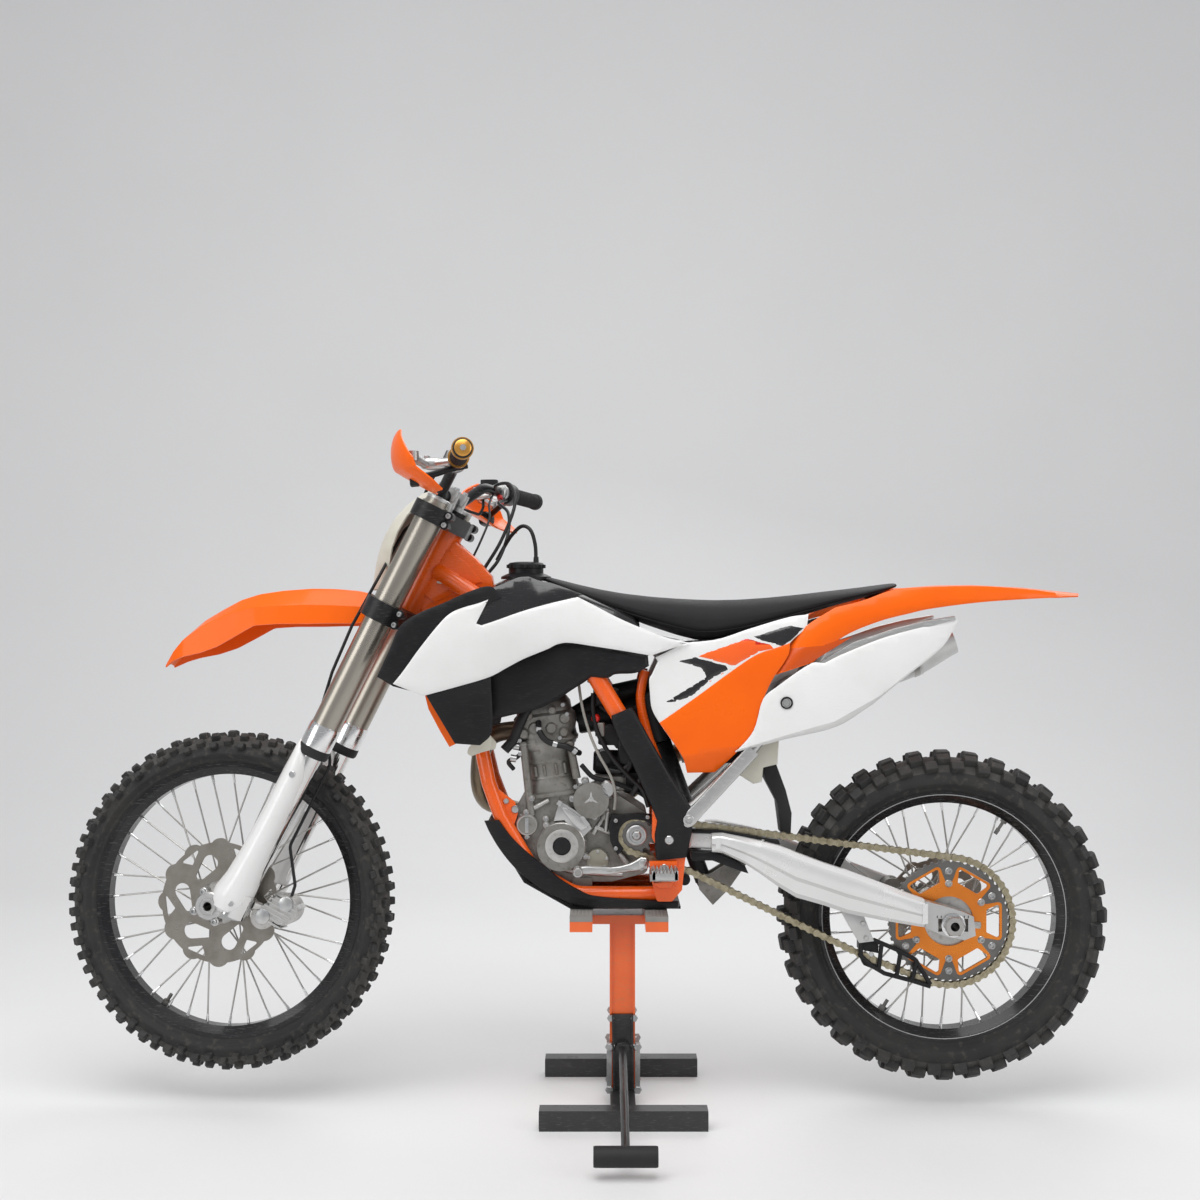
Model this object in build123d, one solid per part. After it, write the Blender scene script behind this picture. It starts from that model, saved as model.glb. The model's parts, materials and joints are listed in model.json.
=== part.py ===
from build123d import *
import os
from math import acos, atan2, ceil, cos, degrees, hypot, pi, radians, sin

# Motocross bike on its lift stand, in millimetres.
# X points forward, Y to the rider's left and Z up. Pieces are drawn with X from the
# middle of the bike's length, then moved so that the origin lies on the floor under
# the middle of the stand's crossbar.

# Clearances
seat_gap = 0.3           # between pieces that rest on each other
fit_gap = 0.05           # round a shaft, pin or tube in its bore

# Steering and fork
rake = 26.5              # degrees the fork leans back
steer_at_rest = 8.0      # degrees the bars are turned to the right
steering_foot_x = 503.3  # steering line, level with the fork tubes' lower ends
steering_foot_z = 722.2
clamp_offset = 22.0      # leg line ahead of the steering line
axle_lead = 45.0         # axle ahead of the leg line
axle_drop = 376.0        # axle below the fork tubes' lower ends, along the fork
fork_spread = 105.0      # each leg from the middle
fork_tube_radius = 29.5
fork_tube_length = 545.0
fork_leg_radius = 24.0
lower_clamp_along = 285.0
lower_clamp_height = 40.0
upper_clamp_along = 508.0
upper_clamp_height = 34.0
stem_radius = 15.0
head_tube_radius = 32.0
bar_along = 568.0        # handlebar's middle, along the steering line
bar_lead = 28.0
bar_end_rise = 88.0      # ends above the middle, along the steering line
bar_end_back = 80.0
bar_width = 800.0
lever_reach = 90.0       # lever's end ahead of the grip
guard_reach = 132.0      # hand guard's front ahead of the grip
guard_curve = 170.0      # radius of its bowl
guard_wall = 4.0
bar_radius = 11.1
bar_middle_radius = 14.3

# Wheels
rear_axle_x = -742.0
rear_axle_z = 385.0
front_tyre_radius = 348.5
front_tyre_half_width = 45.0
front_rim_radius = 282.5
front_rim_inner = 258.0
front_rim_half_width = 22.0
front_hub_half = 68.0
rear_tyre_radius = 340.3
rear_tyre_half_width = 61.0
rear_rim_radius = 257.5
rear_rim_inner = 233.0
rear_rim_half_width = 29.0
rear_hub_half = 82.0
spokes_per_wheel = 36
spoke_radius = 1.8
hub_flange = 6.0         # thickness of the drilled flanges
spoke_lean = 2.8         # extra room for outer spokes, which lean in over the flange
front_axle_radius = 13.0
rear_axle_radius = 12.5
axle_bore_radius = 9.0
front_disc_radius = 130.0
front_disc_bore = 44.0
front_disc_y = 64.0
rear_disc_radius = 110.0
rear_disc_bore = 40.0
rear_disc_y = -62.0
disc_thickness = 4.0
disc_lobes = 12
disc_wave = 8.0          # depth of the waves round a disc
disc_spokes = 6
brake_hose_radius = 3.2

# Drive
sprocket_x = -110.0
sprocket_z = 559.5
chain_y = 72.0
chain_pitch = 15.875
chain_inner = 6.35       # between the inner plates
chain_plate = 2.0        # thickness of a link's plates
plate_radius = 7.2       # half the height of a link's plates
plate_waist = 10.4
plate_gap = 0.15         # between inner and outer plates
rivet_height = 0.8
roller_radius = 5.08
pin_radius = 2.54
sprocket_width = 5.6
tooth_height = 3.6       # of the front sprocket's teeth, above the rollers' line
tooth_flare = 3.2        # how much wider each tooth gap grows outward
bend_x = -215.0          # where the lower run passes over its roller
bend_high = 80.0         # the most that the roller lifts the lower run
chain_roller_radius = 11.5
guide_x = -563.0         # where the lower run enters the chain guide
guide_z = 318.0
front_teeth = 14
rear_teeth = 51
sprocket_bore = 50.0
sprocket_windows = 6
window_inner = 83.0      # radii of the windows' corners
window_outer = 102.0
window_corner = 4.5
lobe_inner = 74.0        # radii of the lobes' corners
lobe_outer = 104.0
lobe_corner = 8.0

# Frame and swingarm
spar_radius = 18.0
rail_radius = 15.0
rail_y = 75.0
rail_z = 441.0
pivot_x = -169.0
pivot_z = 560.0
pivot_bolt_radius = 8.5
pivot_plate_inner = 86.0
pivot_plate_outer = 114.0
arm_inner = 86.0
arm_outer = 116.0
axle_slot = 26.0         # height of the slots for the rear axle
subframe_radius = 11.0
shock_top_x = -125.0
shock_top_z = 800.0
shock_foot_x = -250.0
shock_foot_z = 455.0
shock_eye_half = 16.0

# Bodywork
panel_wall = 3.5
side_panel_y = 114.0     # inner face of the side panels
seat_half_width = 92.0
tank_half_width = 92.0
radiator_outer = 160.0

# Stand
stand_x = -82.0
stand_rail_y = 180.0
stand_rail_length = 330.0
stand_rail_size = 40.0
stand_top_z = 410.7
stand_top_half_y = 159.0
stand_column_width = 52.0

origin_shift = Vector(-stand_x, 0, 0)

front_pitch_radius = chain_pitch / 2 / sin(pi / front_teeth)
rear_pitch_radius = chain_pitch / 2 / sin(pi / rear_teeth)
fork_up = Vector(-sin(radians(rake)), 0, cos(radians(rake)))
fork_ahead = Vector(cos(radians(rake)), 0, sin(radians(rake)))
steering_foot = Vector(steering_foot_x, 0, steering_foot_z)


def fork_point(along, lead=0, side=0):
    return steering_foot + fork_up * along + fork_ahead * lead + Vector(0, side, 0)


front_axle = fork_point(-axle_drop, clamp_offset + axle_lead)
rear_axle = Vector(rear_axle_x, 0, rear_axle_z)


# Building helpers

def outline(points, corner=0):
    if corner:
        return make_face(FilletPolyline(*points, radius=corner, close=True))
    return make_face(Polyline(*points, close=True))


def slab(points, y_low, y_high, corner=0):
    # A side outline in X and Z, from y_low to y_high
    plane = Plane(origin=(0, y_high, 0), x_dir=(1, 0, 0), z_dir=(0, -1, 0))
    return extrude(plane * outline(points, corner), amount=y_high - y_low, dir=(0, -1, 0))


def plan_slab(points, z_low, z_high, corner=0):
    # A plan outline in X and Y, from z_low to z_high
    return extrude(Plane.XY.offset(z_low) * outline(points, corner), amount=z_high - z_low, dir=(0, 0, 1))


def rod(start, end, radius):
    axis = Vector(*end) - Vector(*start)
    place = Plane(origin=start, z_dir=axis)
    return place * Cylinder(radius, axis.length, align=(Align.CENTER, Align.CENTER, Align.MIN))


def cross_rod(x, z, y_low, y_high, radius):
    return rod((x, y_low, z), (x, y_high, z), radius)


def tube(points, radius, bends):
    path = FilletPolyline(*points, radius=bends)
    return sweep(Plane(origin=path @ 0, z_dir=path % 0) * Circle(radius), path=path)


def block(x_low, x_high, y_low, y_high, z_low, z_high):
    size = (x_high - x_low, y_high - y_low, z_high - z_low)
    return Pos(x_low, y_low, z_low) * Box(*size, align=(Align.MIN, Align.MIN, Align.MIN))


def ring(points, corner=0):
    # Points of radius and y, turned about the Y axis
    return revolve(outline(points, corner), axis=Axis.Y, revolution_arc=360)


def both(shape):
    return shape + mirror(shape, about=Plane.XZ)


def curved_panel(side_points, plan_points, wall, corner=0):
    # A sheet that follows a plan curve, cut to a side outline
    curve = Spline(*plan_points)
    inner = [Vector(x, y - wall) for x, y in plan_points]
    inner_curve = Spline(*inner)
    sheet = make_face(curve + inner_curve + Line(curve @ 0, inner_curve @ 0) + Line(curve @ 1, inner_curve @ 1))
    sheet = extrude(sheet, amount=1400, dir=(0, 0, 1))
    return sheet & slab(side_points, 0, 260, corner)


def behind_panel(plan_points, wall):
    # The space from the middle plane out to halfway through a panel's wall
    curve = Spline(*[(x, y - wall / 2) for x, y in plan_points])
    first, last = curve @ 0, curve @ 1
    edge = Polyline((first.X, first.Y), (first.X, 0), (last.X, 0), (last.X, last.Y))
    return extrude(make_face(curve + edge), amount=1400, dir=(0, 0, 1))


def steered(shape):
    axis = Axis(origin=tuple(steering_foot), direction=tuple(fork_up))
    return shape.rotate(axis, -steer_at_rest)


def fork_rod(low, high, lead, side, radius):
    return rod(fork_point(low, lead, side), fork_point(high, lead, side), radius)


# Wheels

def tyre(radius, half_width, rim_radius, rim_half):
    seat = rim_radius - 10.5
    bead = rim_half - 6
    lip = rim_radius + seat_gap
    shoulder = radius - 0.32 * half_width
    crown = ThreePointArc((shoulder, 0.92 * half_width), (radius, 0), (shoulder, -0.92 * half_width))
    widest = (rim_radius + 0.45 * (radius - rim_radius), half_width)
    wall_top = ThreePointArc((lip, rim_half), widest, (shoulder, 0.92 * half_width))
    wall_low = ThreePointArc((shoulder, -0.92 * half_width), (widest[0], -half_width), (lip, -rim_half))
    inside = Polyline((lip, -rim_half), (lip, -bead), (seat, -bead), (seat, bead), (lip, bead), (lip, rim_half))
    return revolve(make_face(wall_top + crown + wall_low + inside), axis=Axis.Y, revolution_arc=360)


def rim(radius, inner, half):
    bead = half - 6 + seat_gap
    seat = radius - 10.5 - seat_gap
    return ring([(radius, -half), (radius, -bead), (seat, -bead), (seat, bead), (radius, bead), (radius, half),
                 (radius - 9, half), (inner, half * 0.62), (inner, -half * 0.62), (radius - 9, -half)])


def spokes(flange_radius, flange_y, rim_inner):
    # Three-cross lacing: one half of each side leads and the other trails
    made = []
    per_side = spokes_per_wheel // 2
    step = 720 / spokes_per_wheel
    spoke_out = hub_flange / 2 + spoke_radius + seat_gap
    for side in (1, -1):
        shift = 0 if side > 0 else step / 2
        for count in range(per_side):
            leads = count % 2 == 0
            hub_angle = radians(shift + count * step)
            rim_angle = hub_angle + radians(3 * step if leads else -3 * step)
            hub_y = side * (flange_y + (spoke_out + spoke_lean if leads else -spoke_out))
            rim_y = side * (5 if leads else 1)
            start = (flange_radius * cos(hub_angle), hub_y, flange_radius * sin(hub_angle))
            reach = rim_inner - 2 * seat_gap
            end = (reach * cos(rim_angle), rim_y, reach * sin(rim_angle))
            made.append(rod(start, end, spoke_radius))
    return Compound(made)


def polar(radius, turn):
    return (radius * cos(radians(turn)), radius * sin(radians(turn)))


def wave_disc(radius, bore, middle_y):
    # A brake disc with a wavy edge, curved openings and small corner openings
    lobe = 0.17 * radius
    face = Circle(radius - disc_wave)
    for count in range(disc_lobes):
        face += Pos(*polar(radius - lobe, count * 360 / disc_lobes)) * Circle(lobe)
    band = radius - bore
    for count in range(disc_spokes):
        turn = count * 360 / disc_spokes
        small = Pos(*polar(bore + 0.27 * band, turn - 9)) * Circle(0.10 * band)
        large = Pos(*polar(bore + 0.44 * band, turn + 15)) * Circle(0.19 * band)
        face -= make_hull([*small.edges(), *large.edges()])
        corners = [(0.78, turn - 14), (0.80, turn + 4), (0.62, turn - 8)]
        dots = [Pos(*polar(bore + share * band, angle)) * Circle(2.5) for share, angle in corners]
        face -= make_hull([edge for dot in dots for edge in dot.edges()])
    face -= Circle(bore)
    plane = Plane(origin=(0, middle_y + disc_thickness / 2, 0), x_dir=(1, 0, 0), z_dir=(0, -1, 0))
    return extrude(plane * face, amount=disc_thickness, dir=(0, -1, 0))


def sprocket_teeth(teeth, pitch_radius, tip_radius):
    # A toothed outline: a seat for each roller, with flanks that open outward
    seat = roller_radius + fit_gap
    gap = make_hull([*Circle(seat).edges(), *(Pos(2 * roller_radius, 0) * Circle(seat + tooth_flare)).edges()])
    places = [Rot(0, 0, count * 360 / teeth) * Pos(pitch_radius, 0) for count in range(teeth)]
    return Circle(tip_radius) - [place * gap for place in places]


def carrier_outline(grow=0):
    # The rear sprocket's lobed carrier, one lobe round each window
    inner = (sprocket_bore + rear_pitch_radius) / 2 - lobe_corner + grow
    face = Circle(inner)
    for count in range(sprocket_windows):
        turn = count * 360 / sprocket_windows
        corners = [(lobe_outer, turn - 17), (lobe_outer, turn + 17), (lobe_inner, turn - 20), (lobe_inner, turn + 20)]
        dots = [Pos(*polar(radius, angle)) * Circle(lobe_corner + grow) for radius, angle in corners]
        face += make_hull([edge for dot in dots for edge in dot.edges()])
    return face


def sprocket_window(turn):
    corners = [(window_outer, turn - 16), (window_outer, turn + 16), (window_inner, turn - 14),
               (window_inner, turn + 14)]
    dots = [Pos(*polar(radius, angle)) * Circle(window_corner) for radius, angle in corners]
    return make_hull([edge for dot in dots for edge in dot.edges()])


def front_wheel():
    place = Pos(*front_axle)
    bore = front_axle_radius + fit_gap
    hub = ring([(bore, -front_hub_half), (19, -front_hub_half), (19, -52), (24, -50), (24, -38), (38, -38),
                (38, -32), (24, -32), (20, -20), (20, 20), (24, 32), (38, 32), (38, 38), (26, 38), (26, 50), (52, 56),
                (52, front_disc_y - disc_thickness / 2 - seat_gap), (20, front_disc_y - disc_thickness / 2 - seat_gap),
                (20, front_hub_half), (bore, front_hub_half)])
    disc = wave_disc(front_disc_radius, front_disc_bore, front_disc_y)
    lacing = spokes(34, 35, front_rim_inner)
    tyre_shape = tyre(front_tyre_radius, front_tyre_half_width, front_rim_radius, front_rim_half_width)
    return {
        "front_tyre": place * tyre_shape,
        "front_rim": place * rim(front_rim_radius, front_rim_inner, front_rim_half_width),
        "front_hub": place * hub,
        "front_spokes": place * lacing,
        "front_disc": place * disc,
    }


def rear_wheel():
    place = Pos(*rear_axle)
    bore = rear_axle_radius + fit_gap
    inner = chain_y - sprocket_width / 2 - seat_gap
    hub = ring([(bore, -rear_hub_half), (21, -rear_hub_half), (21, rear_disc_y + 3.5), (50, rear_disc_y + 2.4),
                (50, -54), (32, -46), (32, -36), (44, -36), (44, -30), (32, -30), (27, -20), (27, 20), (32, 30),
                (44, 30), (44, 36), (32, 36), (32, 48), (64, 58), (64, inner), (22, inner), (22, rear_hub_half),
                (bore, rear_hub_half)])
    disc = wave_disc(rear_disc_radius, rear_disc_bore, rear_disc_y)
    plane = Plane(origin=(0, chain_y + sprocket_width / 2, 0), x_dir=(1, 0, 0), z_dir=(0, -1, 0))
    tip = rear_pitch_radius - roller_radius - 2 * seat_gap
    teeth = sprocket_teeth(rear_teeth, rear_pitch_radius - roller_radius, tip) - carrier_outline(seat_gap)
    windows = [sprocket_window(count * 360 / sprocket_windows) for count in range(sprocket_windows)]
    carrier = carrier_outline() - windows - Circle(sprocket_bore)
    lacing = spokes(40, 33, rear_rim_inner)
    tyre_shape = tyre(rear_tyre_radius, rear_tyre_half_width, rear_rim_radius, rear_rim_half_width)
    return {
        "rear_tyre": place * tyre_shape,
        "rear_rim": place * rim(rear_rim_radius, rear_rim_inner, rear_rim_half_width),
        "rear_hub": place * hub,
        "rear_spokes": place * lacing,
        "rear_disc": place * disc,
        "rear_sprocket": place * extrude(plane * carrier, amount=sprocket_width, dir=(0, -1, 0)),
        "rear_sprocket_ring": place * extrude(plane * teeth, amount=sprocket_width, dir=(0, -1, 0)),
    }


# Steering

def fork_plane(along):
    return Plane(origin=fork_point(along), x_dir=fork_ahead, z_dir=fork_up)


def clamp(along, height, middle_radius):
    plan = make_hull([*(Pos(clamp_offset, fork_spread) * Circle(41)).edges(),
                      *(Pos(clamp_offset, -fork_spread) * Circle(41)).edges(),
                      *Circle(middle_radius).edges()])
    plan -= Pos(clamp_offset + 52, 0) * Rectangle(70, 2 * fork_spread - 84)
    shape = extrude(fork_plane(along) * plan, amount=height, dir=fork_up)
    for side in (1, -1):
        shape -= fork_rod(along - 5, along + height + 5, clamp_offset, side * fork_spread,
                          fork_tube_radius + fit_gap)
    return shape


def steering():
    nodes = {}
    upper_top = upper_clamp_along + upper_clamp_height
    lower = clamp(lower_clamp_along, lower_clamp_height, 38)
    lower += fork_rod(lower_clamp_along, upper_top, 0, 0, stem_radius)
    upper = clamp(upper_clamp_along, upper_clamp_height, 36)
    upper -= fork_rod(upper_clamp_along - 5, upper_top + 5, 0, 0, stem_radius + fit_gap)
    stem_nut = fork_rod(upper_top + seat_gap, upper_top + 10, 0, 0, 19)
    nodes["fork_clamps"] = lower + upper + stem_nut

    outer = fork_rod(0, fork_tube_length, clamp_offset, fork_spread, fork_tube_radius)
    outer += fork_rod(fork_tube_length, fork_tube_length + 9, clamp_offset, fork_spread, 25)
    outer += fork_rod(-14, 0, clamp_offset, fork_spread, fork_tube_radius + 2.5)
    outer -= fork_rod(-30, 230, clamp_offset, fork_spread, fork_leg_radius + fit_gap)
    nodes["fork_tubes"] = both(outer)
    leg = fork_rod(-340, 225, clamp_offset, fork_spread, fork_leg_radius)

    foot = fork_rod(-374, -322, clamp_offset, fork_spread, 29)
    foot += rod(fork_point(-axle_drop, clamp_offset + axle_lead, 76),
                fork_point(-axle_drop, clamp_offset + axle_lead, 126), 27)
    web = extrude(Plane(origin=fork_point(-axle_drop, 0, fork_spread + 15), x_dir=fork_ahead, z_dir=(0, -1, 0))
                  * outline([(clamp_offset - 22, 0), (clamp_offset - 22, 50), (clamp_offset + 27, 50),
                             (clamp_offset + axle_lead + 20, 14), (clamp_offset + axle_lead + 14, -20),
                             (clamp_offset + 20, -14)]), amount=30, dir=(0, -1, 0))
    foot += web
    foot -= fork_rod(-340 - seat_gap, -300, clamp_offset, fork_spread, fork_leg_radius + fit_gap)
    foot -= rod(fork_point(-axle_drop, clamp_offset + axle_lead, 60),
                fork_point(-axle_drop, clamp_offset + axle_lead, 140), front_axle_radius + fit_gap)
    nodes["fork_legs"] = both(leg + foot)

    axle = rod(fork_point(-axle_drop, clamp_offset + axle_lead, -132),
               fork_point(-axle_drop, clamp_offset + axle_lead, 132), front_axle_radius)
    axle += rod(fork_point(-axle_drop, clamp_offset + axle_lead, 126 + seat_gap),
                fork_point(-axle_drop, clamp_offset + axle_lead, 134), 17)
    axle -= rod(fork_point(-axle_drop, clamp_offset + axle_lead, -140),
                fork_point(-axle_drop, clamp_offset + axle_lead, 140), axle_bore_radius)
    nodes["front_axle"] = axle

    guard_plan = Circle(40) - Circle(36.5)
    guard_plan -= Pos(-40, 10) * Rectangle(60, 140)
    guard_plan -= Pos(0, -50) * Rectangle(100, 60)
    guard_plane = Plane(origin=fork_point(-362, clamp_offset, fork_spread), x_dir=fork_ahead, z_dir=fork_up)
    guard = extrude(guard_plane * guard_plan, amount=352, dir=fork_up)
    guard += rod(fork_point(-350, clamp_offset + 10, fork_spread + 29), fork_point(-350, clamp_offset + 10,
                 fork_spread + 38), 7) - fork_rod(-380, -300, clamp_offset, fork_spread, 29 + seat_gap)
    nodes["fork_guards"] = both(guard - foot)

    nodes.update(controls())
    nodes.update(front_bodywork())

    caliper = rod(fork_point(-320, -66, 52), fork_point(-320, -66, 98), 30)
    caliper += rod(fork_point(-352, -34, 52), fork_point(-352, -34, 98), 24)
    caliper += fork_rod(-352, -320, -50, 70, 18)
    caliper -= rod(fork_point(-axle_drop, clamp_offset + axle_lead, front_disc_y - 7),
                   fork_point(-axle_drop, clamp_offset + axle_lead, front_disc_y + 7), front_disc_radius + 6)
    caliper += rod(fork_point(-338, -20, 90), fork_point(-338, -6, 98), 9)
    caliper -= foot
    nodes["front_caliper"] = caliper
    nodes["brake_hose"] = brake_hose()
    return {name: steered(shape) for name, shape in nodes.items()}


def brake_hose():
    # From the caliper up inside the left leg, ahead of its tube, and behind the plate to the right lever
    stops = [(-289.2, -66, 84), (-268, -62, 82), (-205, -14, 74), (-20, -14, 72), (70, 56, 72), (150, 64, 92),
             (250, 70, 92), (350, 68, 84), (470, 75, 40), (500, 75, -10), (556, 70, -105), (570, 6, -205),
             (588, 12, -233), (606.9, 22.4, -235)]
    bends = [10, 22, 45, 45, 30, 30, 40, 22, 22, 40, 14, 12]
    return tube([fork_point(*stop) for stop in stops], brake_hose_radius, bends)


def bar_points():
    half = bar_width / 2
    end_along = bar_along + bar_end_rise
    end_lead = bar_lead - bar_end_back
    return [fork_point(end_along, end_lead, half), fork_point(bar_along + 57, bar_lead - 16, 150),
            fork_point(bar_along, bar_lead, 88), fork_point(bar_along, bar_lead, -88),
            fork_point(bar_along + 57, bar_lead - 16, -150), fork_point(end_along, end_lead, -half)]


def grip_point(share):
    # A point on the left grip line, from its inner end at 0 to the bar's end at 1
    ends = bar_points()
    return ends[1] + (ends[0] - ends[1]) * share


def controls():
    nodes = {}
    bar = tube(bar_points(), bar_radius, [50, 40, 40, 50])
    bar += rod(fork_point(bar_along, bar_lead, -58), fork_point(bar_along, bar_lead, 58), bar_middle_radius)
    nodes["handlebar"] = bar
    grip = rod(grip_point(0.5), grip_point(1.004), 16)
    grip += rod(grip_point(0.97), grip_point(1.016), 18)
    grip -= rod(grip_point(0.4), grip_point(1.2), bar_radius + fit_gap)
    nodes["grips"] = both(grip)
    perch = rod(grip_point(0.30), grip_point(0.38), 17)
    perch -= rod(grip_point(0.2), grip_point(0.6), bar_radius + fit_gap)
    lever_start = grip_point(0.34) + Vector(58, 0, -4)
    lever_end = grip_point(0.93) + Vector(lever_reach, 0, -10)
    perch += rod(grip_point(0.34) + Vector(14, 0, 0), lever_start, 8)
    lever = rod(lever_start + (lever_end - lever_start) * 0.04, lever_end, 6)
    nodes["hand_controls"] = both(perch + lever)

    top = upper_clamp_along + upper_clamp_height + seat_gap
    riser = rod(fork_point(bar_along, bar_lead, 30), fork_point(bar_along, bar_lead, 52), 23)
    riser += fork_rod(top, bar_along, bar_lead, 41, 11)
    riser -= rod(fork_point(bar_along, bar_lead, 20), fork_point(bar_along, bar_lead, 80),
                 bar_middle_radius + fit_gap)
    riser -= extrude(fork_plane(top) * Rectangle(200, 200), amount=60, dir=fork_up * -1)
    nodes["bar_clamps"] = both(riser)

    bowl = grip_point(0.68) + Vector(guard_reach - guard_curve, 0, -12)
    blade = Pos(*bowl) * (Sphere(guard_curve) - Sphere(guard_curve - guard_wall))
    front_view = Plane(origin=bowl, x_dir=(0, 1, 0), z_dir=(1, 0, 0))
    face = outline([(-122, 6), (-70, 28), (0, 50), (34, 42), (66, 10), (72, -14), (52, -46), (0, -64), (-70, -68),
                    (-114, -50)], 10)
    blade = blade & extrude(front_view * face, amount=guard_curve + 10, dir=(1, 0, 0))
    arm = rod(grip_point(0.44), bowl + Vector(guard_curve - 4, -30, -40), 6) & (Pos(*bowl) * Sphere(guard_curve - 2))
    arm += rod(grip_point(0.42), grip_point(0.47), 20)
    arm -= rod(grip_point(0.3), grip_point(0.6), bar_radius + fit_gap)
    nodes["hand_guards"] = both(blade + arm)
    return nodes


def front_bodywork():
    nodes = {}
    stations = [(873, 903, 34, 14), (826, 964, 52, 34), (747, 1017, 62, 46), (678, 1046, 68, 52),
                (588, 1056, 70, 56), (482, 1054, 60, 62), (440, 1044, 50, 62)]
    sections = []
    wall = 3.5
    for x, crest, half, drop in stations:
        arch = [(-half, crest - drop), (-half * 0.8, crest - drop * 0.28), (-half * 0.3, crest),
                (half * 0.3, crest), (half * 0.8, crest - drop * 0.28), (half, crest - drop)]
        under = [(y * (1 - wall / half), z - wall) for y, z in reversed(arch)]
        plane = Plane(origin=(x, 0, 0), x_dir=(0, 1, 0), z_dir=(1, 0, 0))
        sections.append(plane * outline(arch + under))
    fender = loft(sections, ruled=True)
    mount_top = lower_clamp_along - seat_gap
    mount = extrude(fork_plane(mount_top) * (Pos(34, 0) * Rectangle(60, 70)), amount=14, dir=fork_up * -1)
    fender += mount
    fender += slab([(415, 990), (440, 985), (480, 1015), (480, 1052), (441, 1042), (428, 1010)], -20, 20) - mount
    nodes["front_fender"] = fender
    side = [(316, 1253), (356, 1219), (387, 1168), (403, 1105), (420, 1056)]
    front = Spline(*side)
    back = Spline(*[(x - 4, z) for x, z in side])
    face = make_face(front + back + Line(front @ 0, back @ 0) + Line(front @ 1, back @ 1))
    sheet = extrude(Plane(origin=(0, 130, 0), x_dir=(1, 0, 0), z_dir=(0, -1, 0)) * face, amount=260, dir=(0, -1, 0))
    front_view = Plane(origin=(250, 0, 0), x_dir=(0, 1, 0), z_dir=(1, 0, 0))
    plate = sheet & extrude(front_view * outline([(-88, 1240), (88, 1240), (98, 1190), (80, 1100), (45, 1060),
                                                  (-45, 1060), (-80, 1100), (-98, 1190)], 12), amount=250, dir=(1, 0, 0))
    behind = slab([(200, 1040), (420, 1040), (418, 1056), (401, 1105), (385, 1168), (354, 1219), (314, 1253),
                   (200, 1253)], -30, 30)
    strap = rod(fork_point(525, clamp_offset + 17 + seat_gap), fork_point(525, 140), 8) & behind
    nodes["number_plate"] = plate + strap
    return nodes


# Frame

def spar_path():
    return [(300, 20, 1095), (170, 62, 1015), (-20, 88, 893), (-95, 94, 770), (-182, 100, 590)]


def cradle_path():
    return [(243, 10, 870), (207, 46, 740), (190, 64, 664), (165, 72, 597), (100, rail_y, 490),
            (15, rail_y, rail_z), (-175, rail_y, rail_z)]


def spars(grow=0):
    return both(tube(spar_path(), spar_radius + grow, [70, 90, 90]))


def cradles(grow=0):
    return both(tube(cradle_path(), rail_radius + grow, [50, 60, 60, 60, 80]))


def frame():
    head = fork_rod(lower_clamp_along + lower_clamp_height + seat_gap, upper_clamp_along - seat_gap, 0, 0,
                    head_tube_radius)
    shape = head + spars() + cradles()
    shape += rod(fork_point(380, -30), (235, 0, 850), 18)
    plate = slab([(-141, 620), (-205, 620), (-217, 572), (-206, 513), (-200, 455), (-180, 432), (-150, 432),
                  (-140, 470), (-160, 518), (-140, 560)], pivot_plate_inner, pivot_plate_outer, 6)
    shape += both(plate)
    shape += cross_rod(-172, 446, -90, 90, 13)
    shape += cross_rod(-83, 788, -94, 94, 13)
    shape += both(slab([(-78, 776), (-78, 802), (shock_top_x, shock_top_z + 14), (shock_top_x - 14, shock_top_z),
                        (shock_top_x, shock_top_z - 14)], shock_eye_half + seat_gap, shock_eye_half + 8))
    shape -= fork_rod(300, 560, 0, 0, stem_radius + fit_gap)
    shape -= cross_rod(pivot_x, pivot_z, -130, 130, pivot_bolt_radius + fit_gap)
    return shape


def subframe_parts(grow=0):
    radius = subframe_radius + grow
    upper = tube([(-20, 82, 900), (-140, 72, 936), (-330, 66, 944), (-560, 60, 1005)], radius, [90, 120])
    left = tube([(-205, 100, 605), (-338, 98, 728), (-440, 58, 850), (-520, 58, 985)], radius, [90, 90])
    right = tube([(-205, -100, 605), (-300, -64, 700), (-430, -52, 830), (-520, -58, 985)], radius, [60, 90])
    return both(upper) + left + right


def chassis():
    nodes = {"frame": frame()}
    rails = subframe_parts() - spars(seat_gap)
    rails -= both(block(-230, -130, pivot_plate_inner - seat_gap, pivot_plate_outer + seat_gap, 420, 620 + seat_gap))
    nodes["subframe"] = rails
    guard = slab([(-62, 790), (-96, 806), (-152, 700), (-205, 607), (-216, 572), (-205, 522), (-163, 518),
                  (-141, 601), (-118, 680)], 104, 121)
    guard -= tube(spar_path(), spar_radius + seat_gap, [70, 90, 90])
    guard -= block(-230, -130, 80, pivot_plate_outer + seat_gap, 500, 640)
    guard -= rod((-205, 100, 605), (-338, 98, 728), subframe_radius + 1)
    guard -= cross_rod(pivot_x, pivot_z, 100, 130, 16)
    nodes["frame_guards"] = both(guard)
    nodes["skid_plate"] = skid_plate()
    return nodes


def skid_plate():
    outer = [(-199, 411), (24, 411), (118, 464), (192, 585)]
    inner = [(187, 588), (114, 468), (22, 416), (-199, 416)]
    plate = slab(outer + inner, -80, 80)
    for x in (-150, -10):
        plate += both(rod((x, rail_y, 416), (x, rail_y, rail_z - rail_radius - seat_gap), 9))
    return plate


# Engine

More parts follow.
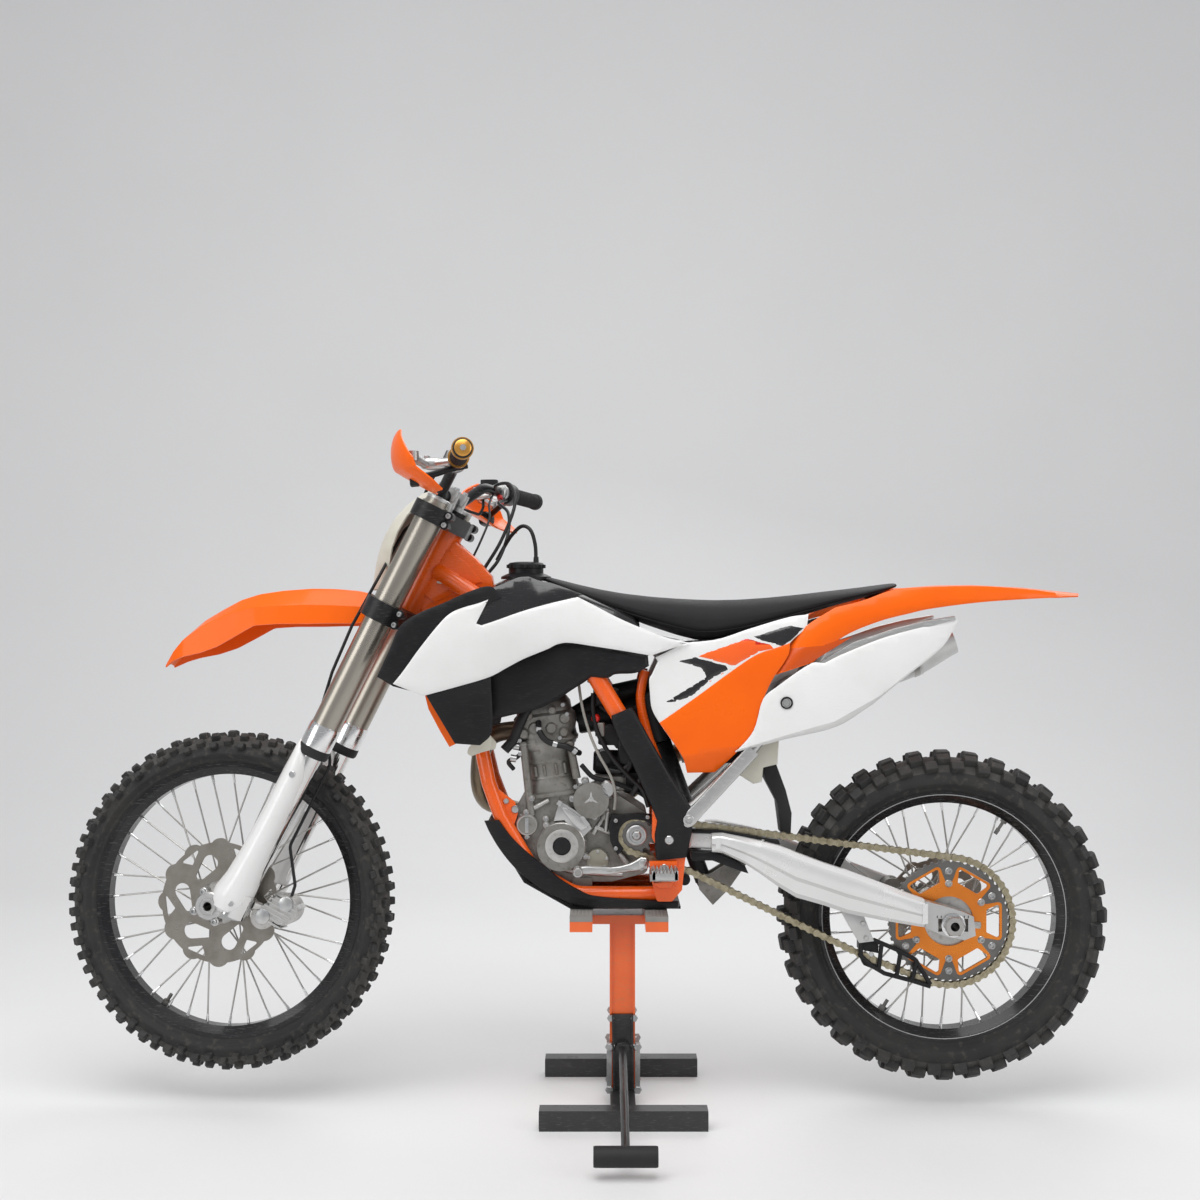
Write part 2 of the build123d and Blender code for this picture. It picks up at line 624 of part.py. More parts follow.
def engine():
    nodes = {}
    case = slab([(118, 640), (140, 600), (128, 530), (92, 478), (40, 462), (-60, 462), (-132, 480), (-138, 520),
                 (-132, 600), (-70, 640)], -84, 56, 14)
    lug = cross_rod(pivot_x, pivot_z, -34, 34, 17) + block(pivot_x, -130, -34, 34, pivot_z - 15, pivot_z + 15)
    case += lug
    case -= cross_rod(pivot_x, pivot_z, -60, 60, pivot_bolt_radius + fit_gap)
    case -= cradles(1.5)
    case += block(-20, 20, -rail_y + rail_radius + seat_gap, rail_y - rail_radius - seat_gap, 444, 470)
    case += cross_rod(sprocket_x, sprocket_z, 50, 82, 12)
    covers = cross_rod(43, 536, 56 + seat_gap, 88, 48)
    covers += cross_rod(-18, 630, 56 + seat_gap, 84, 36) - cross_rod(43, 536, 50, 90, 49)
    covers += cross_rod(111, 579, 56 + seat_gap, 76, 18)
    covers += cross_rod(-30, 555, -108, -84 - seat_gap, 66)
    nodes["crankcase"] = case + (covers - cradles(1.5))
    nodes["cylinder"] = cylinder_stack()
    return nodes


def cylinder_stack(grow=0):
    tilt = Plane(origin=(58, 0, 640 + seat_gap), x_dir=(cos(0.14), 0, -sin(0.14)), z_dir=(sin(0.14), 0, cos(0.14)))
    barrel = extrude(tilt * RectangleRounded(96, 104, 20), amount=100)
    head = extrude(tilt.offset(100 + seat_gap) * RectangleRounded(120 + 2 * grow, 118, 16), amount=62)
    cam_cover = extrude(tilt.offset(162 + 2 * seat_gap) * RectangleRounded(104, 100, 14), amount=30)
    return barrel - block(-100, 250, -100, 100, 600, 640 + seat_gap) + head + cam_cover


# Drive

def tangent_turn(x, z, radius, point, way):
    # The angle at which a line from an outside point touches a circle
    far = hypot(point[0] - x, point[1] - z)
    turn = atan2(point[1] - z, point[0] - x) + way * acos(radius / far)
    return turn - 2 * pi if turn > 0 else turn


def chain_turns(bend_z):
    # Where the chain leaves and meets the two sprockets, as angles
    far = hypot(sprocket_x - rear_axle_x, sprocket_z - rear_axle_z)
    lean = atan2(sprocket_z - rear_axle_z, sprocket_x - rear_axle_x)
    top = lean + acos((rear_pitch_radius - front_pitch_radius) / far)
    front_low = tangent_turn(sprocket_x, sprocket_z, front_pitch_radius, (bend_x, bend_z), 1)
    rear_low = tangent_turn(rear_axle_x, rear_axle_z, rear_pitch_radius, (guide_x, guide_z), -1)
    return top, front_low, rear_low


def on_front(turn):
    return (sprocket_x + front_pitch_radius * cos(turn), sprocket_z + front_pitch_radius * sin(turn))


def on_rear(turn):
    return (rear_axle_x + rear_pitch_radius * cos(turn), rear_axle_z + rear_pitch_radius * sin(turn))


def walk(spot, start, end, radius):
    count = int(abs(end - start) * radius) + 1
    return [spot(start + (end - start) * step / count) for step in range(count + 1)]


def between(start, end):
    count = int(hypot(end[0] - start[0], end[1] - start[1])) + 1
    return [tuple(a + (b - a) * step / count for a, b in zip(start, end)) for step in range(1, count + 1)]


def chain_route(bend_z):
    # The rollers' line, about every millimetre: over the top to the front sprocket and back below
    top, front_low, rear_low = chain_turns(bend_z)
    route = walk(on_rear, pi, top, rear_pitch_radius)
    route += between(route[-1], on_front(top))
    route += walk(on_front, top, front_low, front_pitch_radius)[1:]
    route += between(route[-1], (bend_x, bend_z))
    route += between(route[-1], (guide_x, guide_z))
    route += between(route[-1], on_rear(rear_low))
    return route + walk(on_rear, rear_low, -pi, rear_pitch_radius)[1:]


def chain_pins(bend_z):
    # Pins one pitch apart along the route, and the length in pitches of the whole loop
    route = chain_route(bend_z)
    pins = [route[0]]
    last = route[0]
    for spot in route[1:]:
        near = hypot(last[0] - pins[-1][0], last[1] - pins[-1][1])
        far = hypot(spot[0] - pins[-1][0], spot[1] - pins[-1][1])
        if far >= chain_pitch:
            share = (chain_pitch - near) / (far - near)
            pins.append(tuple(a + (b - a) * share for a, b in zip(last, spot)))
        last = spot
    rest = hypot(route[-1][0] - pins[-1][0], route[-1][1] - pins[-1][1])
    return pins, len(pins) - 1 + rest / chain_pitch


def solve_chain():
    # Lifts the lower run over its roller until the loop is a whole even number of links
    share = (bend_x - guide_x) / (sprocket_x - guide_x)
    straight = guide_z + (sprocket_z - front_pitch_radius - guide_z) * share
    heights = [straight + step for step in range(-30, 30)]
    low = min(heights, key=lambda height: chain_pins(height)[1])
    links = 2 * ceil(chain_pins(low)[1] / 2)
    high = low + bend_high
    for step in range(30):
        middle = (low + high) / 2
        if chain_pins(middle)[1] < links:
            low = middle
        else:
            high = middle
    return high, chain_pins(high)[0][:links]


bend_z, chain_centres = solve_chain()


def chain_band(grow):
    # The space that the chain's plates pass through, with room all round
    top, front_low, rear_low = chain_turns(bend_z)
    front_mid, rear_mid = (top + front_low) / 2, (pi + top) / 2
    loop = Line(on_rear(top), on_front(top))
    loop += ThreePointArc(on_front(top), on_front(front_mid), on_front(front_low))
    loop += Polyline(on_front(front_low), (bend_x, bend_z), (guide_x, guide_z), on_rear(rear_low))
    loop += ThreePointArc(on_rear(rear_low), on_rear((rear_low - pi) / 2 - pi / 4), on_rear(-pi))
    loop += ThreePointArc(on_rear(pi), on_rear(rear_mid), on_rear(top))
    face = make_face(loop)
    reach = plate_radius + grow
    band = offset(face, amount=reach, kind=Kind.INTERSECTION) - offset(face, amount=-reach, kind=Kind.INTERSECTION)
    half = chain_inner / 2 + 2 * chain_plate + plate_gap + rivet_height + grow
    plane = Plane(origin=(0, chain_y + half, 0), x_dir=(1, 0, 0), z_dir=(0, -1, 0))
    return extrude(plane * band, amount=2 * half, dir=(0, -1, 0))


def link_plate(y_low):
    half = chain_pitch / 2
    shape = Pos(-half, 0) * Circle(plate_radius) + Pos(half, 0) * Circle(plate_radius)
    shape += Rectangle(chain_pitch, plate_waist)
    plane = Plane(origin=(0, y_low + chain_plate, 0), x_dir=(1, 0, 0), z_dir=(0, -1, 0))
    return extrude(plane * shape, amount=chain_plate, dir=(0, -1, 0))


def inner_link():
    # Two plates joined by their bushes and rollers
    side = chain_inner / 2
    link = link_plate(side) + link_plate(-side - chain_plate)
    for x in (-chain_pitch / 2, chain_pitch / 2):
        link += cross_rod(x, 0, -side, side, roller_radius)
        link -= cross_rod(x, 0, -2 * side, 2 * side, pin_radius + fit_gap)
    return link


def outer_link():
    # Two plates joined by their pins, which are riveted over outside
    side = chain_inner / 2 + chain_plate + plate_gap
    tip = side + chain_plate + rivet_height
    link = link_plate(side) + link_plate(-side - chain_plate)
    for x in (-chain_pitch / 2, chain_pitch / 2):
        link += cross_rod(x, 0, -tip, tip, pin_radius)
    return link


def chain():
    links = [inner_link(), outer_link()]
    placed = []
    for count, (x, z) in enumerate(chain_centres):
        next_x, next_z = chain_centres[(count + 1) % len(chain_centres)]
        turn = degrees(atan2(next_z - z, next_x - x))
        place = Pos((x + next_x) / 2, chain_y, (z + next_z) / 2) * Rot(0, -turn, 0)
        placed.append(place * links[count % 2])
    return Compound(placed)


def chain_roller():
    # Under the lower run, on a stud from the frame's plate
    drop = plate_radius + chain_roller_radius + seat_gap
    fall = atan2(bend_z - guide_z, bend_x - guide_x)
    x, z = bend_x + drop * sin(fall), bend_z - drop * cos(fall)
    roller = cross_rod(x, z, chain_y - 11, chain_y + 11, chain_roller_radius)
    roller += cross_rod(x, z, chain_y + 11, chain_y + 14, 6)
    return roller


def drive():
    nodes = {"chain": chain(), "chain_roller": chain_roller()}
    centre = min(chain_centres, key=lambda pin: hypot(pin[0] - sprocket_x - front_pitch_radius, pin[1] - sprocket_z))
    turn = degrees(atan2(centre[1] - sprocket_z, centre[0] - sprocket_x))
    face = sprocket_teeth(front_teeth, front_pitch_radius, front_pitch_radius + tooth_height)
    plane = Plane(origin=(sprocket_x, chain_y + sprocket_width / 2, sprocket_z), x_dir=(1, 0, 0), z_dir=(0, -1, 0))
    sprocket = extrude(plane * (Rot(0, 0, turn) * face), amount=sprocket_width, dir=(0, -1, 0))
    sprocket -= cross_rod(sprocket_x, sprocket_z, 40, 90, 12 + fit_gap)
    nodes["drive_sprocket"] = sprocket
    return nodes


def swingarm():
    nodes = {}
    slot_top = rear_axle_z + axle_slot / 2
    slot_low = rear_axle_z - axle_slot / 2
    lugs = both(cross_rod(pivot_x, pivot_z, 36, 58, 19) + block(-235, pivot_x, 36, 58, 541, 562))
    yoke = slab([(-225, 562), (-268, 560), (-345, 548), (-345, 492), (-322, 509), (-225, 532)], -arm_outer, arm_outer)
    yoke -= block(-266, -200, -44, 44, 480, 600)
    lugs -= cross_rod(pivot_x, pivot_z, -70, 70, pivot_bolt_radius + fit_gap)
    arm = slab([(-300, 556), (-341, 551), (-392, 541), (-484, 507), (-686, 433), (-686, 380), (-530, 408),
                (-428, 436), (-392, 454), (-323, 509), (-300, 515)], arm_inner, arm_outer)
    joint_x = -686 - seat_gap
    end = slab([(joint_x, 433), (-725, 423), (-745, 417), (-765, 410), (-783, 402), (-787, 364), (-765, 355),
                (-745, 359), (-730, 361.5), (-722, 364), (joint_x, 380)], arm_inner, arm_outer)
    end -= slab([(-772, slot_top), (-712, slot_top), (-712, slot_low), (-772, slot_low)], 80, 120)
    nodes["swingarm_ends"] = both(end)
    shape = lugs + yoke + both(arm)
    bolt = cross_rod(pivot_x, pivot_z, -122, 122, pivot_bolt_radius)
    bolt += both(cross_rod(pivot_x, pivot_z, pivot_plate_outer + seat_gap, 122, 13))
    nodes["swingarm"] = shape + bolt
    axle = cross_rod(rear_axle_x, rear_axle_z, -132, 132, rear_axle_radius)
    axle += cross_rod(rear_axle_x, rear_axle_z, arm_outer + seat_gap, 134, 18)
    axle += cross_rod(rear_axle_x, rear_axle_z, -134, -arm_outer - seat_gap, 16)
    axle -= cross_rod(rear_axle_x, rear_axle_z, -140, 140, axle_bore_radius)
    blocks = slab([(-764, slot_top - seat_gap), (-720, slot_top - seat_gap), (-720, slot_low + seat_gap),
                   (-764, slot_low + seat_gap)], arm_inner, arm_outer)
    blocks -= cross_rod(rear_axle_x, rear_axle_z, 60, 140, rear_axle_radius + fit_gap)
    nodes["rear_axle"] = axle + both(blocks)
    top = Vector(shock_top_x, 0, shock_top_z)
    foot = Vector(shock_foot_x, 0, shock_foot_z)
    along = top - foot
    shock = rod(foot, top, 17) + rod(foot + along * 0.82, foot + along * 0.9, 30)
    for eye in (foot, top):
        shock += cross_rod(eye.X, eye.Z, -shock_eye_half, shock_eye_half, 15)
    shock -= both(block(-300, 0, shock_eye_half, 40, shock_top_z - 30, shock_top_z + 60))
    shock -= both(block(-300, -200, shock_eye_half, 40, 400, 480))
    spring = rod(foot + along * 0.42, foot + along * 0.818, 36)
    spring -= rod(foot + along * 0.40, foot + along * 0.9, 17 + seat_gap)
    nodes["shock_absorber"] = shock + spring
    link = slab([(-268, 408), (-240, 440), (-236, 468), (-264, 472), (-322, 508.5), (-338, 494), (-300, 440)],
                shock_eye_half + seat_gap, shock_eye_half + 8)
    nodes["shock_linkage"] = both(link)
    nodes["chain_guide"] = chain_guide()
    caliper = cross_rod(-651, 427, -arm_inner + seat_gap, -46, 24)
    caliper -= cross_rod(rear_axle_x, rear_axle_z, rear_disc_y - 7, rear_disc_y + 7, rear_disc_radius + 6)
    nodes["rear_caliper"] = caliper
    return nodes


def chain_guide():
    guide = slab([(-556, 352), (-598, 345), (-598, 285), (-568, 300), (-556, 320)], 60, 88)
    guide -= chain_band(3)
    guide += slab([(-559, 352), (-652, 336), (-689, 289), (-708, 252), (-610, 284), (-568, 310)], 84.5, 88)
    lift = (408 - 380) / (686 - 530)
    strap_low, strap_high = -600, -570
    guide += slab([(strap_low, 340), (strap_low, 408 + (strap_low + 530) * lift - seat_gap),
                   (strap_high, 408 + (strap_high + 530) * lift - seat_gap), (strap_high, 340)], 86, 92)
    return guide


# Bodywork

def bodywork():
    nodes = {}
    tank_side = [(205, 1010), (190, 1045), (140, 1072), (95, 1074), (60, 1058), (-20, 1016), (-100, 985), (-115, 960),
                 (-60, 925), (40, 900), (150, 905), (200, 950)]
    tank = slab(tank_side, -tank_half_width, tank_half_width, 12)
    tank -= spars(1.0)
    tank -= fork_rod(300, 560, 0, 0, head_tube_radius + 2)
    nodes["fuel_tank"] = tank + rod((117, 0, 1074 + seat_gap), (117, 0, 1108), 28)

    seat_side = [(80, 1082), (47, 1074), (-32, 1056), (-116, 1040), (-238, 1032), (-345, 1035), (-487, 1047),
                 (-608, 1062), (-649, 1068), (-639, 1064), (-588, 1044), (-511, 1024), (-423, 994), (-323, 964),
                 (-270, 953), (-210, 954), (-127, 985), (-4, 1034), (66, 1072)]
    seat = slab(seat_side, -seat_half_width, seat_half_width)
    plan = plan_slab([(90, 52), (0, 70), (-150, 86), (-300, 92), (-480, 92), (-660, 74), (-660, -74), (-480, -92),
                      (-300, -92), (-150, -86), (0, -70), (90, -52)], 900, 1100)
    seat = seat & plan
    seat -= subframe_parts(seat_gap)
    nodes["seat"] = seat

    crest = [(-560, 1020), (-640, 1052), (-720, 1059), (-876, 1060), (-1014, 1047)]
    line = Spline(*crest)
    low = Spline(*[(x, z - panel_wall) for x, z in crest])
    face = make_face(line + low + Line(line @ 0, low @ 0) + Line(line @ 1, low @ 1))
    sheet = extrude(Plane(origin=(0, 130, 0), x_dir=(1, 0, 0), z_dir=(0, -1, 0)) * face, amount=260, dir=(0, -1, 0))
    wing_plan = [(-385, 113.5), (-541, 110), (-640, 101), (-800, 84), (-1020, 44)]
    curve = Spline(*wing_plan)
    lower_curve = Spline(*[(x, -y) for x, y in wing_plan])
    plan = make_face(curve + lower_curve + Line(curve @ 0, lower_curve @ 0) + Line(curve @ 1, lower_curve @ 1))
    fender = sheet & extrude(plan, amount=1400, dir=(0, 0, 1))
    wing = curved_panel([(-392, 887), (-417, 941), (-453, 982), (-510, 1018), (-560, 1024), (-640, 1056), (-720, 1061),
                         (-876, 1062), (-1010, 1050), (-967, 1038), (-905, 1038), (-700, 1021), (-638, 1005),
                         (-541, 967), (-458, 915)], wing_plan, panel_wall)
    nodes["rear_fender"] = fender + both(wing)

    side = curved_panel([(-145, 916), (-215, 944), (-270, 946), (-323, 955), (-420, 980), (-448, 976), (-412, 936),
                         (-388, 882), (-366, 843), (-342, 789), (-311, 738), (-266, 686), (-222, 681), (-155, 787),
                         (-142, 810), (-137, 883)],
                        [(-120, side_panel_y + panel_wall), (-260, side_panel_y + panel_wall + 3),
                         (-460, side_panel_y + panel_wall)], panel_wall)
    clear = exhaust_route(4)
    nodes["side_panels"] = both(side) - clear
    outer = side_panel_y + 2 * panel_wall + seat_gap
    tail = curved_panel([(-306, 736), (-336, 789), (-358, 842), (-450, 908), (-566, 952), (-667, 980), (-749, 995),
                         (-754, 990), (-713, 937), (-622, 856), (-540, 800), (-505, 779), (-413, 759), (-340, 739)],
                        [(-280, outer + 3), (-440, outer + 3), (-600, outer - 4), (-770, outer - 26)], panel_wall)
    over = slab([(-280, 770), (-800, 1010), (-800, 600), (-280, 600)], -200, -80)
    nodes["tail_panels"] = tail + (mirror(tail, about=Plane.XZ) - over - clear)

    front_plan = [(410, 192), (330, 194), (200, 178), (100, 146), (0, 127), (-230, 122)]
    shroud = curved_panel([(369, 870), (314, 936), (262, 1000), (238, 1016), (182, 1032), (109, 1018), (65, 1026),
                           (12, 1036), (-45, 1012), (-126, 979), (-215, 951), (-138, 924), (-86, 930), (-4, 945),
                           (36, 947), (115, 912), (170, 885), (234, 865), (306, 849)], front_plan, panel_wall)
    shroud += cross_rod(60, 990, tank_half_width + seat_gap, 200, 9) & behind_panel(front_plan, panel_wall)
    nodes["shrouds"] = both(shroud)
    louvre_plan = [(x, y - panel_wall - seat_gap) for x, y in front_plan]
    louvre = curved_panel([(400, 885), (374, 958), (358, 993), (328, 1013), (254, 1038), (189, 1063), (170, 1026),
                           (226, 1008), (180, 880), (185, 789), (219, 747), (254, 754), (306, 845), (368, 866)],
                          louvre_plan, panel_wall)
    louvre += cross_rod(245, 930, radiator_outer + seat_gap, 200, 9) & behind_panel(louvre_plan, panel_wall)
    nodes["shroud_louvres"] = both(louvre)
    radiator = block(228, 262, 66, radiator_outer, 800, 1005)
    radiator += cross_rod(241, 865, 14, 70, 7) - cradles(seat_gap) - rod(fork_point(380, -30), (235, 0, 850), 19)
    nodes["radiators"] = both(radiator)
    box = block(-330, -215, -76, 76, 705, 925) - subframe_parts(seat_gap) - exhaust_route(2)
    intake = tube([(16, 0, 792), (-60, 0, 838), (-214.7, 0, 872)], 22, 50) - cylinder_stack(seat_gap)
    nodes["airbox"] = box + intake
    return nodes


def exhaust_route(grow):
    # Header, collector and silencer as one run, made fatter by the clearance
    pipe = tube([(112, -6, 770), (240, -6, 745), (260, -30, 650), (208, -146, 600), (60, -146, 560),
                 (-60, -146, 590), (-180, -146, 690), (-330, -134, 775), (-400, -130, 803)], 19 + grow,
                [45, 45, 60, 60, 60, 60, 60])
    start = Vector(-400, -130, 803)
    end = Vector(-790, -118, 955)
    return pipe + rod(start, end, 50 + grow)


def exhaust():
    return {"exhaust": exhaust_route(0) - cylinder_stack(seat_gap)}


def foot_controls():
    outer = pivot_plate_outer + seat_gap
    peg = block(-178, -142, outer, 124, 470, 498) + block(-186, -134, 124, 182, 484, 498)
    pegs = both(peg)
    shaft = cross_rod(-119, 497, 56 + seat_gap, 98, 6)
    gear = shaft + tube([(-119, 92, 497), (-60, 96, 490), (8, 112, 493)], 6, 40)
    gear += cross_rod(8, 493, 106, 136, 8)
    pedal = cross_rod(-120, rail_z, -130, -rail_y - rail_radius - seat_gap, 8)
    pedal += tube([(-120, -124, rail_z), (-60, -126, 450), (22, -122, 478)], 6, 60)
    pedal += block(8, 40, -140, -112, 474, 482)
    return {"foot_controls": pegs + gear + pedal}


# Stand

def stand():
    nodes = {}
    half = stand_rail_length / 2
    size = stand_rail_size
    rail = block(stand_x - half, stand_x + half, stand_rail_y - size / 2, stand_rail_y + size / 2, 0, size)
    base = both(rail) + block(stand_x - 25, stand_x + 25, -stand_rail_y, stand_rail_y, 0, 30)
    base += both(block(stand_x - 34, stand_x + 34, 27, 33, 30 - 1, 180))
    nodes["stand_base"] = base
    half_width = stand_column_width / 2
    column = block(stand_x - half_width, stand_x + half_width, -26, 26, 30 + seat_gap, 372)
    arms = block(-171, -126, -stand_top_half_y, stand_top_half_y, 380, 400)
    arms += block(-21, 24, -stand_top_half_y, stand_top_half_y, 380, 400)
    arms += block(-171, 24, -40, 40, 372, 390)
    nodes["stand_column"] = column + arms
    pads = block(-171, -126, -stand_top_half_y, stand_top_half_y, 400 + seat_gap, stand_top_z)
    pads += block(-21, 24, -stand_top_half_y, stand_top_half_y, 400 + seat_gap, stand_top_z)
    nodes["stand_pads"] = pads
    lever = rod((stand_x, 33 + seat_gap, 120), (stand_x, 52, 120), 14)
    lever += tube([(stand_x, 46, 118), (stand_x, 250, 90), (stand_x, 460, 41)], 8, 200)
    lever += rod((stand_x - 54, 460, 41), (stand_x + 54, 460, 41), 16)
    nodes["stand_pedal"] = lever
    return nodes


def build():
    nodes = {}
    nodes.update(chassis())
    nodes.update(engine())
    nodes.update(exhaust())
    nodes.update(drive())
    nodes.update(swingarm())
    nodes.update(bodywork())
    nodes.update(foot_controls())
    nodes.update(stand())
    nodes.update(steering())
    nodes.update({name: steered(shape) for name, shape in front_wheel().items()})
    nodes.update(rear_wheel())
    return nodes


if __name__ == "__main__":
    os.makedirs("parts", exist_ok=True)
    for name, shape in build().items():
        export_step(Pos(*origin_shift) * shape, f"parts/{name}.step")
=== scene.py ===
import json
import math
import random
import bpy
import bmesh
from mathutils import Matrix, Vector


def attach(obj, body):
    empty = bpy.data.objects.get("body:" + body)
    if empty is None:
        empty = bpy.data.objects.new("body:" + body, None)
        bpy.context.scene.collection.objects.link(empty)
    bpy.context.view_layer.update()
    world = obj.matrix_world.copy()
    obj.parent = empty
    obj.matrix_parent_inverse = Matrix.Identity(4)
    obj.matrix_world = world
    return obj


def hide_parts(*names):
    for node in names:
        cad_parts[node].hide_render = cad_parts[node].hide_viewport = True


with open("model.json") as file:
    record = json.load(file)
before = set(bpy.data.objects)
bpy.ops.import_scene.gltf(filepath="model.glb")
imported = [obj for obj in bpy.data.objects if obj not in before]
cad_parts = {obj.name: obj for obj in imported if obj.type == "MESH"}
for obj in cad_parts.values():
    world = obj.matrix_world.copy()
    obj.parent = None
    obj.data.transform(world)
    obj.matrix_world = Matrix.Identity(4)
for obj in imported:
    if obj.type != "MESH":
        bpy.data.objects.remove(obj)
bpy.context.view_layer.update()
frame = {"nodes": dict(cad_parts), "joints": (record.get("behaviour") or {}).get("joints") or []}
nodes = frame["nodes"]
joints = {joint["name"]: joint for joint in frame["joints"]}
scene = bpy.context.scene
random.seed(11)
print("frame loaded:", len(nodes), "CAD pieces")

view = {
    "eye": (0.046, 3.340, 1.035),  # level camera on the bike's left
    "lens": 48.4,
    "sensor": 36.0,
}
studio = {
    "keySize": 3.4, "keyPower": 118.0,  # soft box overhead, a little to the camera's side
    "fillSize": 2.2, "fillPower": 36.0,  # one on each side, well off the camera's line
    "rimSize": 2.6, "rimPower": 40.0,
    "roomLight": 0.42,
    "backLevel": 0.93,  # what the eye sees behind the bike
}

cameraData = bpy.data.cameras.new("viewCamera")
cameraData.lens = view["lens"]
cameraData.sensor_width = view["sensor"]
camera = bpy.data.objects.new("viewCamera", cameraData)
camera.location = view["eye"]
camera.rotation_euler = (math.radians(90), 0, math.radians(180))
scene.collection.objects.link(camera)
scene.camera = camera
scene.view_settings.view_transform = "Standard"


def softLamp(name, place, target, size, power):
    lampData = bpy.data.lights.new(name, "AREA")
    lampData.size = size
    lampData.energy = power
    lamp = bpy.data.objects.new(name, lampData)
    lamp.location = place
    lamp.rotation_euler = (Vector(target) - Vector(place)).to_track_quat("-Z", "Y").to_euler()
    scene.collection.objects.link(lamp)


softLamp("keyLamp", (0.5, 1.5, 3.9), (0.1, 0, 0.7), studio["keySize"], studio["keyPower"])
softLamp("leftFill", (3.8, 2.6, 1.9), (0.3, 0, 0.7), studio["fillSize"], studio["fillPower"])
softLamp("rightFill", (-3.9, 2.4, 1.9), (-0.3, 0, 0.7), studio["fillSize"], studio["fillPower"])
softLamp("rimLamp", (-0.8, -2.4, 3.4), (0, 0, 0.8), studio["rimSize"], studio["rimPower"])

world = bpy.data.worlds.new("paleRoom")
scene.world = world
world.use_nodes = True
worldNodes, worldLinks = world.node_tree.nodes, world.node_tree.links
roomGlow = worldNodes["Background"]
roomGlow.inputs["Color"].default_value = (0.96, 0.97, 1.0, 1)
roomGlow.inputs["Strength"].default_value = studio["roomLight"]
seenGlow = worldNodes.new("ShaderNodeBackground")
seenGlow.inputs["Color"].default_value = (1, 1, 1, 1)
seenGlow.inputs["Strength"].default_value = studio["backLevel"]
rayKind = worldNodes.new("ShaderNodeLightPath")
worldMix = worldNodes.new("ShaderNodeMixShader")
worldLinks.new(rayKind.outputs["Is Camera Ray"], worldMix.inputs["Fac"])
worldLinks.new(roomGlow.outputs["Background"], worldMix.inputs[1])
worldLinks.new(seenGlow.outputs["Background"], worldMix.inputs[2])
worldLinks.new(worldMix.outputs["Shader"], worldNodes["World Output"].inputs["Surface"])


# Finishes

def startFinish(name):
    finish = bpy.data.materials.new(name)
    finish.use_nodes = True
    tree = finish.node_tree
    coords = tree.nodes.new("ShaderNodeTexCoord")
    return finish, tree, tree.nodes["Principled BSDF"], coords.outputs["Object"]


def noiseField(tree, coords, scale, detail=4.0, stretch=(1, 1, 1), rough=0.55):
    turn = tree.nodes.new("ShaderNodeMapping")
    turn.inputs["Scale"].default_value = stretch
    tree.links.new(coords, turn.inputs["Vector"])
    field = tree.nodes.new("ShaderNodeTexNoise")
    field.inputs["Scale"].default_value = scale
    field.inputs["Detail"].default_value = detail
    field.inputs["Roughness"].default_value = rough
    tree.links.new(turn.outputs["Vector"], field.inputs["Vector"])
    return field.outputs["Fac"]


def remap(tree, value, fromLow, fromHigh, toLow, toHigh):
    node = tree.nodes.new("ShaderNodeMapRange")
    for socket, number in zip(("From Min", "From Max", "To Min", "To Max"), (fromLow, fromHigh, toLow, toHigh)):
        node.inputs[socket].default_value = number
    tree.links.new(value, node.inputs["Value"])
    return node.outputs["Result"]


def mixTint(tree, share, first, second):
    node = tree.nodes.new("ShaderNodeMix")
    node.data_type = "RGBA"
    for socket, tint in ((6, first), (7, second)):
        if isinstance(tint, (tuple, list)):
            node.inputs[socket].default_value = (*tint[:3], 1)
        else:
            tree.links.new(tint, node.inputs[socket])
    if isinstance(share, float):
        node.inputs["Factor"].default_value = share
    else:
        tree.links.new(share, node.inputs["Factor"])
    return node.outputs[2]


def combine(tree, kind, first, second=None):
    node = tree.nodes.new("ShaderNodeMath")
    node.operation = kind
    for socket, value in ((0, first), (1, second)):
        if value is None:
            continue
        if isinstance(value, (int, float)):
            node.inputs[socket].default_value = value
        else:
            tree.links.new(value, node.inputs[socket])
    return node.outputs[0]


def addBump(tree, shader, height, distance, strength=1.0):
    node = tree.nodes.new("ShaderNodeBump")
    node.inputs["Distance"].default_value = distance
    node.inputs["Strength"].default_value = strength
    tree.links.new(height, node.inputs["Height"])
    if shader.inputs["Normal"].links:
        tree.links.new(shader.inputs["Normal"].links[0].from_socket, node.inputs["Normal"])
    tree.links.new(node.outputs["Normal"], shader.inputs["Normal"])


